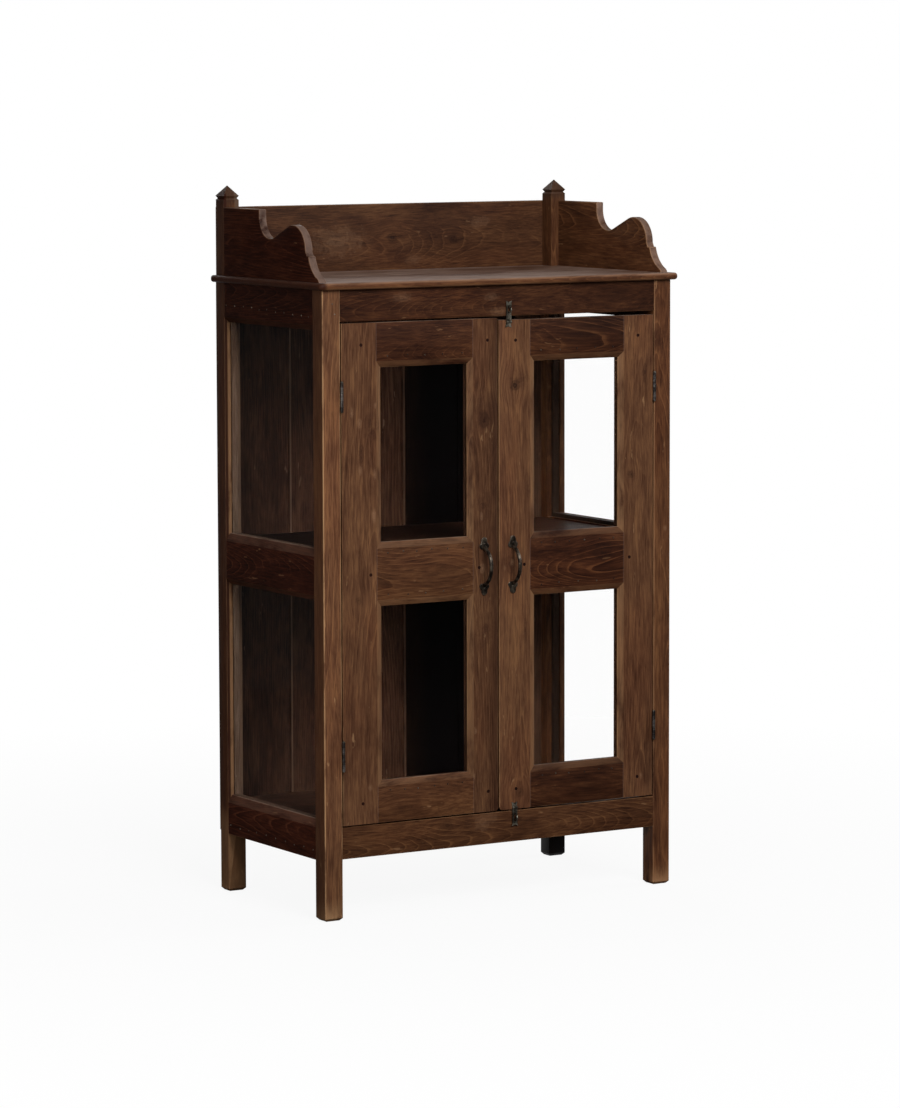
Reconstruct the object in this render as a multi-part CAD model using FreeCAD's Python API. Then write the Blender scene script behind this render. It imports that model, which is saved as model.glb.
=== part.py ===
import FreeCAD, Part
import math
import os

# Wooden cabinet: two glazed doors, glazed sides, a plank back and a scrolled gallery on the top.
# Millimetres, +Z up, the doors face -Y, and the origin lies on the floor under the middle of the whole.

V = FreeCAD.Vector
X_AXIS = V(1, 0, 0)
Y_AXIS = V(0, 1, 0)
Z_AXIS = V(0, 0, 1)
LEFT = -1
RIGHT = 1

# Frame of posts and rails
body_width = 726.0
body_depth = 383.0
carcass_height = 1106.0
post_width = 36.0
front_post_depth = 34.5
back_post_depth = 31.0
post_arris = 1.2
foot_chamfer = 5.0
front_bottom_rail_z = 108.0
front_bottom_rail_height = 56.0
front_top_rail_height = 55.5
front_rail_setback = 1.0
side_rail_thickness = 26.0
side_bottom_rail_z = 106.0
side_bottom_rail_height = 72.0
side_middle_rail_height = 92.0
side_top_rail_height = 71.0
lower_side_pane_share = 0.5033
back_rail_thickness = 22.0
back_bottom_rail_z = 108.0
back_bottom_rail_height = 56.0
back_top_rail_height = 55.5

# Mortise and tenon joints
tenon_thickness = 8.0
tenon_inset = 12.0
front_tenon_length = 20.0
side_tenon_length = 14.0
joint_clearance = 0.2
overrun = 2.0

# Finials carved on the back posts
finial_tip_rise = 160.5
finial_point_height = 18.5
finial_neck_rise = 4.5
finial_shoulder_rise = 3.0
finial_neck_depth = 3.0
finial_width = 31.0

# Top board and gallery
top_thickness = 12.5
top_side_overhang = 10.5
top_front_overhang = 12.0
top_nose_radius = 5.5
top_corner_radius = 9.0
top_notch_clearance = 0.4
gallery_rise = 121.5
gallery_thickness = 15.0
scroll_toe_setback = 10.0
scroll_top_length = 130.0
cove_wall = 12.5
scroll_foot_sag = 5.3
scroll_toe_bulge = 1.2
scroll_tenon_thickness = 5.0
scroll_tenon_length = 8.0
scroll_tenon_height = 70.0
# Shares of the run from the scroll's toe to its top corner
cove_radius_share = 0.179
hump_radius_share = 0.212
hump_reach_share = 0.434
step_setback_share = 0.203
ledge_setback_share = 0.1745
foot_setback_share = 0.033
# Shares of the gallery's rise
hump_rise_share = 0.803
step_rise_share = 0.371
foot_rise_share = 0.0617

# Plank back
back_thickness = 12.0
back_end_margin = 6.0
first_back_board_width = 148.0
back_board_width = 119.75
back_board_gap = 0.4
tongue_length = 5.0
tongue_thickness = 4.0
bead_quirk = 2.0
bead_width = 6.0

# Shelf and bottom board, on cleats
shelf_drop = 10.0
shelf_thickness = 15.0
floor_drop = 12.0
floor_thickness = 14.0
board_front_gap = 6.0
board_end_clearance = 1.0
cleat_width = 18.0
cleat_height = 18.0
cleat_end_gap = 6.0

# Glazing
glass_thickness = 3.0
glass_clearance = 1.0
rebate_width = 8.0
bead_clearance = 0.2
bead_setback = 0.5
side_lip = 11.5
side_post_bevel = 1.5
side_sill_bevel = 14.0
side_head_bevel = 10.0
side_bevel_depth = 8.0
door_lip = 8.0
door_bevel = 11.0
door_bevel_depth = 4.0
door_bead_depth = 6.0

# Doors
door_thickness = 22.0
hinge_gap = 2.0
meeting_gap = 3.0
meeting_offset = -5.0
door_bottom_gap = 3.0
left_door_top_gap = 3.0
right_door_top_gap = 7.0
left_hinge_stile_width = 80.5
left_meeting_stile_width = 61.5
right_hinge_stile_width = 74.0
right_meeting_stile_width = 76.0
door_bottom_rail_height = 75.0
door_middle_rail_height = 113.0
door_top_rail_height = 78.5
lower_window_share = 0.5016
door_corner_radius = 6.0
door_tenon_margin = 14.0
door_tenon_share = 0.75
peg_radius = 3.0
peg_clearance = 0.1
peg_reach = 30.0
middle_peg_reach = 12.0
stop_clearance = 0.5
stop_width = 60.0
stop_thickness = 16.0
stop_lap = 16.0
stop_seat = 30.0

# Butt hinges
hinge_length = 51.0
hinge_knuckles = 5
knuckle_radius = 2.75
knuckle_gap = 0.3
knuckle_clearance = 0.35
hinge_pin_radius = 1.5
pin_clearance = 0.05
pin_head_radius = 2.3
leaf_thickness = 1.2
leaf_gap = 0.4
leaf_depth = 18.0
gain_clearance = 0.2
left_lower_hinge_rise = 98.0
left_upper_hinge_drop = 104.5
right_lower_hinge_rise = 103.5
right_upper_hinge_drop = 111.0

# Bow handles
handle_reach = 28.0
handle_height = 104.0
handle_bow_radius = 3.2
handle_bow_lap = 4.0
handle_leaf_length = 25.0
handle_leaf_thickness = 3.0
handle_lobe_radius = 5.2
handle_lobe_spread = 4.2
handle_lobe_lap = 7.0
handle_tip_radius = 4.6
handle_neck_half_width = 3.4
handle_offset = 30.0
handle_rise = 1.5

# Hasps and staples
top_hasp_setback = 19.5
bottom_hasp_setback = 31.0
hasp_half_width = 5.0
hasp_thickness = 1.2
hasp_knuckle_radius = 2.2
hasp_pin_radius = 1.0
hasp_middle_knuckle = 3.6
hasp_leaf_length = 10.0
hasp_axis_inset = 3.0
hasp_tip_length = 8.2
hasp_flare = 1.2
hasp_notch = 2.0
hasp_taper = 4.0
slot_half_width = 2.3
slot_margin = 1.3
staple_wire_radius = 1.2
staple_half_span = 4.5
staple_standout = 13.0
staple_edge_distance = 11.5
staple_embed = 8.0

# Places worked out from the sizes above
half_width = body_width / 2
front_y = handle_reach - (handle_reach + body_depth + back_thickness) / 2
back_y = front_y + body_depth
front_post_back = front_y + front_post_depth
back_post_front = back_y - back_post_depth
inner_half = half_width - post_width
top_z = carcass_height + top_thickness
door_back = front_y + door_thickness
front_rail_front = front_y + front_rail_setback
front_rail_back = door_back + stop_clearance
front_bottom_rail_top = front_bottom_rail_z + front_bottom_rail_height
front_top_rail_z = carcass_height - front_top_rail_height
left_door_top = front_top_rail_z - left_door_top_gap
right_door_top = front_top_rail_z - right_door_top_gap
door_z = front_bottom_rail_top + door_bottom_gap


def two_openings(low, high, bar, lower_share):
    """Heights of two openings one above the other, parted by a bar."""
    bar_z = low + (high - low - bar) * lower_share
    return ((low, bar_z), (bar_z + bar, high))


side_openings = two_openings(side_bottom_rail_z + side_bottom_rail_height,
                             carcass_height - side_top_rail_height,
                             side_middle_rail_height, lower_side_pane_share)
windows = two_openings(door_z + door_bottom_rail_height, left_door_top - door_top_rail_height,
                       door_middle_rail_height, lower_window_share)
shelf_top_z = side_openings[1][0] - shelf_drop
floor_top_z = side_openings[0][0] - floor_drop
handle_centre_z = (windows[0][1] + windows[1][0]) / 2 + handle_rise

nodes = {}


def box(x0, x1, y0, y1, z0, z1):
    """Block between two corners, given in any order along X."""
    return Part.makeBox(abs(x1 - x0), y1 - y0, z1 - z0, V(min(x0, x1), y0, z0))


def side_x(side, inward):
    """X of a plane that lies inward from the outer face of the posts on one side."""
    return side * (half_width - inward)


def grown(bounds, margin):
    """The bounds of a block, widened by a margin all round."""
    x0, x1, y0, y1, z0, z1 = bounds
    low, high = min(x0, x1), max(x0, x1)
    return (low - margin, high + margin, y0 - margin, y1 + margin, z0 - margin, z1 + margin)


def cut_all(shape, tools):
    """Cut every tool from a shape."""
    for tool in tools:
        shape = shape.cut(tool)
    return shape


def prism(points, travel):
    """Extrude a closed outline of straight lines along a vector."""
    solid = Part.Face(Part.makePolygon(points + points[:1])).extrude(travel)
    if solid.Volume < 0:
        solid.reverse()
    return solid


def frame_bevel(place, opening, spreads, depth):
    """Wedge that bevels the four edges of an opening; place() maps along, up and depth to a point."""
    a0, a1, b0, b1 = opening
    s0, s1, t0, t1 = spreads
    reach = 1 + overrun / depth
    rings = []
    for level, share in ((-overrun, reach), (depth, 0)):
        corners = [
            place(a0 - s0 * share, b0 - t0 * share, level),
            place(a1 + s1 * share, b0 - t0 * share, level),
            place(a1 + s1 * share, b1 + t1 * share, level),
            place(a0 - s0 * share, b1 + t1 * share, level),
        ]
        rings.append(Part.makePolygon(corners + corners[:1]))
    return Part.makeLoft(rings, True, True)


def bead_frame(place, opening, depth0, depth1):
    """Four mitred glazing beads that lie in the rebate round an opening."""
    a0, a1, b0, b1 = opening
    out = rebate_width - bead_clearance
    inner = ((a0 - bead_setback, b0 - bead_setback), (a1 + bead_setback, b0 - bead_setback),
             (a1 + bead_setback, b1 + bead_setback), (a0 - bead_setback, b1 + bead_setback))
    outer = ((a0 - out, b0 - out), (a1 + out, b0 - out), (a1 + out, b1 + out), (a0 - out, b1 + out))
    beads = []
    for i in range(len(inner)):
        j = (i + 1) % len(inner)
        corners = [place(*p, depth0) for p in (inner[i], inner[j], outer[j], outer[i])]
        beads.append(prism(corners, place(*inner[i], depth1) - place(*inner[i], depth0)))
    return beads


def side_place(side):
    """Mapping from a place on a glazed side to a point: along Y, up Z and inward X."""
    return lambda a, b, depth: V(side_x(side, depth), a, b)


def door_place(a, b, depth):
    """Mapping from a place on the doors to a point: along X, up Z and inward Y."""
    return V(a, front_y + depth, b)


# Tenons, as the bounds of a block each
def front_tenon(side, z0, z1):
    """Tenon of a front rail in the front post of one side."""
    y0 = (front_rail_front + front_rail_back - tenon_thickness) / 2
    return (side_x(side, post_width), side_x(side, post_width - front_tenon_length),
            y0, y0 + tenon_thickness, z0 + tenon_inset, z1 - tenon_inset)


def back_tenon(side, z0, z1):
    """Tenon of a back rail in the back post of one side."""
    y0 = back_y - (back_rail_thickness + tenon_thickness) / 2
    return (side_x(side, post_width), side_x(side, post_width - front_tenon_length),
            y0, y0 + tenon_thickness, z0 + tenon_inset, z1 - tenon_inset)


def side_tenons(side, z0, z1):
    """Tenons of a side rail in the front and the back post."""
    inset = (side_rail_thickness - tenon_thickness) / 2
    x0, x1 = side_x(side, inset), side_x(side, inset + tenon_thickness)
    low, high = z0 + tenon_inset, z1 - tenon_inset
    return ((x0, x1, front_post_back - side_tenon_length, front_post_back, low, high),
            (x0, x1, back_post_front, back_post_front + side_tenon_length, low, high))


front_rails = {
    "front_bottom_rail": (front_bottom_rail_z, front_bottom_rail_top),
    "front_top_rail": (front_top_rail_z, carcass_height),
}
back_rails = {
    "back_bottom_rail": (back_bottom_rail_z, back_bottom_rail_z + back_bottom_rail_height),
    "back_top_rail": (carcass_height - back_top_rail_height, carcass_height),
}
side_rails = {
    "bottom_rail": (side_bottom_rail_z, side_openings[0][0]),
    "middle_rail": (side_openings[0][1], side_openings[1][0]),
    "top_rail": (side_openings[1][1], carcass_height),
}


def glazing_cuts(side):
    """Rebates and bevels round the two panes of one side."""
    tools = []
    for z0, z1 in side_openings:
        opening = (front_post_back, back_post_front, z0, z1)
        tools.append(box(side_x(side, side_lip), side_x(side, post_width + overrun),
                         front_post_back - rebate_width, back_post_front + rebate_width,
                         z0 - rebate_width, z1 + rebate_width))
        spreads = (side_post_bevel, side_post_bevel, side_sill_bevel, side_head_bevel)
        tools.append(frame_bevel(side_place(side), opening, spreads, side_bevel_depth))
    return tools


# Hinges
knuckle_length = (hinge_length - knuckle_gap * (hinge_knuckles - 1)) / hinge_knuckles
hinge_axis_y = front_y - knuckle_radius - knuckle_clearance
gain_depth = leaf_gap / 2 + leaf_thickness - hinge_gap / 2


def hinge_axis_x(side):
    """X of the hinge axis, in the middle of the gap between post and door."""
    return side * (inner_half - hinge_gap / 2)


def hinge_gain(side, z0, into_post):
    """Shallow recess for a hinge leaf, in the post or in the door's edge."""
    face = inner_half if into_post else inner_half - hinge_gap
    way = 1 if into_post else -1
    return box(side * (face - way * overrun), side * (face + way * gain_depth),
               front_y - overrun, front_y + leaf_depth + gain_clearance,
               z0 - gain_clearance, z0 + hinge_length + gain_clearance)


def hinge_leaf(side, z0, on_post):
    """Leaf with its own knuckles, bored for the pin and cleared round the other leaf's knuckles."""
    axis_x = hinge_axis_x(side)
    way = side if on_post else -side
    near = axis_x + way * leaf_gap / 2
    leaf = box(near, near + way * leaf_thickness, hinge_axis_y, front_y + leaf_depth, z0, z0 + hinge_length)
    others = []
    for i in range(hinge_knuckles):
        low = V(axis_x, hinge_axis_y, z0 + i * (knuckle_length + knuckle_gap))
        if (i % 2 == 0) == on_post:
            leaf = leaf.fuse(Part.makeCylinder(knuckle_radius, knuckle_length, low))
        else:
            low -= Z_AXIS * knuckle_gap
            room = knuckle_length + knuckle_gap * 2
            others.append(Part.makeCylinder(knuckle_radius + knuckle_clearance, room, low))
    bore = Part.makeCylinder(hinge_pin_radius + pin_clearance, hinge_length + overrun * 2,
                             V(axis_x, hinge_axis_y, z0 - overrun))
    return cut_all(leaf, others + [bore]).removeSplitter()


def hinge_pin(side, z0):
    """Pin with a domed head at each end."""
    axis_x = hinge_axis_x(side)
    foot = V(axis_x, hinge_axis_y, z0)
    head = V(axis_x, hinge_axis_y, z0 + hinge_length)
    pin = Part.makeCylinder(hinge_pin_radius, hinge_length, foot)
    pin = pin.fuse(Part.makeSphere(pin_head_radius, head, Z_AXIS, 0, 90))
    return pin.fuse(Part.makeSphere(pin_head_radius, foot, -Z_AXIS, 0, 90))


hinge_heights = {
    LEFT: (door_z + left_lower_hinge_rise, front_top_rail_z - left_upper_hinge_drop - hinge_length),
    RIGHT: (door_z + right_lower_hinge_rise, front_top_rail_z - right_upper_hinge_drop - hinge_length),
}


# Posts
def post_blank(side, y0, y1, height):
    """Square post with broken arrises and a chamfered foot."""
    blank = box(side_x(side, 0), side_x(side, post_width), y0, y1, 0, height)
    blank = blank.makeChamfer(foot_chamfer, [e for e in blank.Edges if e.BoundBox.ZMax < foot_chamfer])
    upright = [e for e in blank.Edges if e.BoundBox.ZLength > foot_chamfer + post_arris]
    return blank.makeChamfer(post_arris, upright)


def front_post(side):
    """Front post, mortised for the rails, rebated for the panes and let in for the hinges."""
    post = post_blank(side, front_y, front_post_back, carcass_height)
    tools = [box(*grown(front_tenon(side, *span), joint_clearance)) for span in front_rails.values()]
    tools += [box(*grown(side_tenons(side, *span)[0], joint_clearance)) for span in side_rails.values()]
    tools += [hinge_gain(side, z0, True) for z0 in hinge_heights[side]]
    return cut_all(post, tools + glazing_cuts(side))


def rect_ring(side, inset, z):
    """Outline of a finial's section, inset all round, at a height."""
    x0, x1 = side_x(side, inset), side_x(side, finial_width - inset)
    y0, y1 = back_post_front + inset, back_y - inset
    corners = [V(x0, y0, z), V(x1, y0, z), V(x1, y1, z), V(x0, y1, z)]
    return Part.makePolygon(corners + corners[:1])


def finial(side, shoulder_z):
    """Necked square block under a low pyramid."""
    neck_z = shoulder_z + finial_shoulder_rise
    eaves_z = neck_z + finial_neck_rise
    tip_z = eaves_z + finial_point_height
    shoulder = rect_ring(side, 0, shoulder_z)
    neck = rect_ring(side, finial_neck_depth, neck_z)
    eaves = rect_ring(side, 0, eaves_z)
    tip = Part.Vertex(V(side_x(side, finial_width / 2), back_y - back_post_depth / 2, tip_z))
    lower, upper, point = (Part.makeLoft(ends, True, True)
                           for ends in ([shoulder, neck], [neck, eaves], [eaves, tip]))
    return lower.fuse([upper, point])


def scroll_tenon(side):
    """Stub tenon of a scroll board in the back post."""
    inset = (gallery_thickness - scroll_tenon_thickness) / 2
    z0 = top_z + (gallery_rise - scroll_tenon_height) / 2
    return (side_x(side, inset), side_x(side, inset + scroll_tenon_thickness),
            back_post_front, back_post_front + scroll_tenon_length, z0, z0 + scroll_tenon_height)


def back_post(side):
    """Back post, which runs on past the top board, narrower there, and ends in a finial."""
    finial_height = finial_shoulder_rise + finial_neck_rise + finial_point_height
    shoulder_z = top_z + finial_tip_rise - finial_height
    post = post_blank(side, back_post_front, back_y, shoulder_z)
    post = post.cut(box(side_x(side, finial_width), side_x(side, post_width + overrun),
                        back_post_front - overrun, back_y + overrun, top_z, shoulder_z + overrun))
    post = post.fuse(finial(side, shoulder_z)).removeSplitter()
    tools = [box(*grown(back_tenon(side, *span), joint_clearance)) for span in back_rails.values()]
    tools += [box(*grown(side_tenons(side, *span)[1], joint_clearance)) for span in side_rails.values()]
    tools.append(box(*grown(scroll_tenon(side), joint_clearance)))
    return cut_all(post, tools + glazing_cuts(side))


# Rails of the carcass
def staple_places():
    """Middle of each staple and the way its strap points: the top one, then the bottom one."""
    meeting_edge = meeting_offset + meeting_gap / 2
    return ((meeting_edge + top_hasp_setback, front_top_rail_z + staple_edge_distance, 1),
            (meeting_edge + bottom_hasp_setback, front_bottom_rail_top - staple_edge_distance, -1))


def front_rail(span):
    """Front rail between the posts, drilled for the legs of its staple."""
    z0, z1 = span
    rail = box(-inner_half, inner_half, front_rail_front, front_rail_back, z0, z1)
    for side in (LEFT, RIGHT):
        rail = rail.fuse(box(*front_tenon(side, z0, z1)))
    for x, z, way in staple_places():
        for leg in (-staple_half_span, staple_half_span):
            hole = Part.makeCylinder(staple_wire_radius + peg_clearance, staple_embed + overrun,
                                     V(x, front_rail_front - overrun, z + leg), Y_AXIS)
            rail = rail.cut(hole)
    return rail.removeSplitter()


def back_rail(span):
    """Back rail between the back posts, flush with their back faces."""
    z0, z1 = span
    rail = box(-inner_half, inner_half, back_y - back_rail_thickness, back_y, z0, z1)
    for side in (LEFT, RIGHT):
        rail = rail.fuse(box(*back_tenon(side, z0, z1)))
    return rail.removeSplitter()


def side_rail(side, span):
    """Side rail between the posts, with its rebates and bevels."""
    z0, z1 = span
    rail = box(side_x(side, 0), side_x(side, side_rail_thickness), front_post_back, back_post_front, z0, z1)
    for tenon in side_tenons(side, z0, z1):
        rail = rail.fuse(box(*tenon))
    return cut_all(rail, glazing_cuts(side)).removeSplitter()


# Top board and gallery
def top_board():
    """Top with a rounded nose on the front and both ends, notched round the back posts."""
    x1 = half_width + top_side_overhang
    board = box(-x1, x1, front_y - top_front_overhang, back_y, carcass_height, top_z)
    half = top_thickness / 2
    upright = [e for e in board.Edges if e.BoundBox.ZLength > half and e.BoundBox.YMax < front_y]
    board = board.makeFillet(top_corner_radius, upright)
    nosing = [e for e in board.Edges if e.BoundBox.ZLength < half and e.BoundBox.YMin < back_post_front]
    board = board.makeFillet(top_nose_radius, nosing)
    for side in (LEFT, RIGHT):
        notch = box(side_x(side, -top_notch_clearance), side_x(side, post_width + top_notch_clearance),
                    back_post_front - top_notch_clearance, back_y + overrun,
                    carcass_height - overrun, top_z + overrun)
        board = board.cut(notch)
    return board


def inner_tangent(low, low_radius, high, high_radius):
    """Points where a line that crosses between two circles touches each; both are (y, z)."""
    dy, dz = low[0] - high[0], low[1] - high[1]
    lean = math.atan2(dz, dy) - math.asin((low_radius + high_radius) / math.hypot(dy, dz))
    normal = (-math.sin(lean), math.cos(lean))
    start = (low[0] - normal[0] * low_radius, low[1] - normal[1] * low_radius)
    end = (high[0] + normal[0] * high_radius, high[1] + normal[1] * high_radius)
    return start, end


def on_circle(centre, radius, angle):
    """Point of a circle at an angle from +Y towards +Z."""
    return (centre[0] + radius * math.cos(angle), centre[1] + radius * math.sin(angle))


def bulged_middle(start, end, bulge):
    """Middle point of an arc from start to end that bows to the right of its way by bulge."""
    dy, dz = end[0] - start[0], end[1] - start[1]
    length = math.hypot(dy, dz)
    return ((start[0] + end[0]) / 2 + bulge * dz / length, (start[1] + end[1]) / 2 - bulge * dy / length)


def scroll_outline(x):
    """Outline of a scroll board: straight top, cove, hump, step and a hollow foot."""
    toe_y = front_y + scroll_toe_setback
    board_top = top_z + gallery_rise
    corner_y = back_post_front - scroll_top_length
    run = corner_y - toe_y
    cove_radius = run * cove_radius_share
    hump_radius = run * hump_radius_share
    cove = (corner_y - cove_radius, board_top - cove_wall)
    hump = (toe_y + run * hump_reach_share, top_z + gallery_rise * hump_rise_share - hump_radius)
    cove_end, hump_start = inner_tangent(cove, cove_radius, hump, hump_radius)
    end_angle = math.atan2(cove_end[1] - cove[1], cove_end[0] - cove[0])
    start_angle = math.atan2(hump_start[1] - hump[1], hump_start[0] - hump[0])
    cove_middle = on_circle(cove, cove_radius, end_angle / 2)
    hump_middle = on_circle(hump, hump_radius, (start_angle + math.pi) / 2)
    hump_end = (hump[0] - hump_radius, hump[1])
    step_z = top_z + gallery_rise * step_rise_share
    step_top = (toe_y + run * step_setback_share, step_z)
    ledge = (toe_y + run * ledge_setback_share, step_z)
    foot = (toe_y + run * foot_setback_share, top_z + gallery_rise * foot_rise_share)
    toe = (toe_y, top_z)
    corners = [(back_post_front, top_z), (back_post_front, board_top),
               (corner_y, board_top), (corner_y, cove[1])]
    at = lambda p: V(x, p[0], p[1])
    line = lambda p, q: Part.makeLine(at(p), at(q))
    arc = lambda p, m, q: Part.Arc(at(p), at(m), at(q)).toShape()
    edges = [line(p, q) for p, q in zip(corners, corners[1:])]
    edges += [
        arc(corners[-1], cove_middle, cove_end),
        line(cove_end, hump_start),
        arc(hump_start, hump_middle, hump_end),
        line(hump_end, step_top),
        line(step_top, ledge),
        arc(ledge, bulged_middle(ledge, foot, -scroll_foot_sag), foot),
        arc(foot, bulged_middle(foot, toe, scroll_toe_bulge), toe),
        line(toe, corners[0]),
    ]
    return Part.Face(Part.Wire(edges))


def scroll_board(side):
    """Scrolled end of the gallery, flush with the outer face of the posts."""
    board = scroll_outline(side_x(side, 0)).extrude(V(-side * gallery_thickness, 0, 0))
    return board.fuse(box(*scroll_tenon(side))).removeSplitter()


def gallery_back():
    """Board across the backs of the back posts, above the plank back."""
    x1 = half_width - back_end_margin
    return box(-x1, x1, back_y, back_y + back_thickness, carcass_height, top_z + gallery_rise)


# Plank back
def back_plank(x0, x1, tongued, grooved):
    """Upright board with a tongue, a groove and a bead worked on its grooved edge."""
    y0, y1 = back_y, back_y + back_thickness
    middle = (y0 + y1) / 2
    half = tongue_thickness / 2
    z0, z1 = back_bottom_rail_z, carcass_height
    plank = box(x0, x1, y0, y1, z0, z1)
    if tongued:
        plank = plank.fuse(box(x0 - tongue_length, x0, middle - half, middle + half, z0, z1))
    if grooved:
        deep = tongue_length + joint_clearance
        wide = half + joint_clearance
        groove = box(x1 - deep, x1 + overrun, middle - wide, middle + wide, z0 - overrun, z1 + overrun)
        quirk_x = x1 - bead_width
        quirk = prism([V(quirk_x - bead_quirk / 2, y0, z0), V(quirk_x + bead_quirk / 2, y0, z0),
                       V(quirk_x, y0 + bead_quirk, z0)], V(0, 0, z1 - z0))
        plank = cut_all(plank, [groove, quirk])
    return plank.removeSplitter()


def back_planks():
    """The boards of the back, side by side from left to right."""
    left_end, right_end = back_end_margin - half_width, half_width - back_end_margin
    seams = [left_end, left_end + first_back_board_width]
    while seams[-1] + back_board_width < right_end:
        seams.append(seams[-1] + back_board_width)
    seams.append(right_end)
    last = len(seams) - 2
    return [back_plank(x0 + (back_board_gap if i else 0), x1, i > 0, i < last)
            for i, (x0, x1) in enumerate(zip(seams, seams[1:]))]


# Shelf, bottom board and cleats
def level_board(top, thickness):
    """Board that lies on its cleats between the posts."""
    x1 = inner_half - board_end_clearance
    return box(-x1, x1, door_back + board_front_gap, back_y - board_end_clearance, top - thickness, top)


def bottom_board():
    """Bottom board, let in round the back bottom rail."""
    board = level_board(floor_top_z, floor_thickness)
    rail = box(-half_width, half_width, back_y - back_rail_thickness - board_end_clearance, back_y,
               back_bottom_rail_z, back_bottom_rail_z + back_bottom_rail_height)
    return board.cut(rail)


def cleats():
    """Cleats on the side rails under the shelf and the bottom board."""
    bars = []
    y0, y1 = front_post_back + cleat_end_gap, back_post_front - cleat_end_gap
    for top in (shelf_top_z - shelf_thickness, floor_top_z - floor_thickness):
        for side in (LEFT, RIGHT):
            x0, x1 = side_x(side, side_rail_thickness), side_x(side, side_rail_thickness + cleat_width)
            bars.append(box(x0, x1, y0, y1, top - cleat_height, top))
    return bars


# Glazing of the sides
def side_pane(side, span):
    """Pane of glass that lies in the rebate of one side."""
    edge = rebate_width - glass_clearance
    return box(side_x(side, side_lip), side_x(side, side_lip + glass_thickness),
               front_post_back - edge, back_post_front + edge, span[0] - edge, span[1] + edge)


def side_beads():
    """Glazing beads of both sides."""
    beads = []
    for side in (LEFT, RIGHT):
        for z0, z1 in side_openings:
            opening = (front_post_back, back_post_front, z0, z1)
            beads += bead_frame(side_place(side), opening, side_lip + glass_thickness, side_rail_thickness)
    return beads


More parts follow.
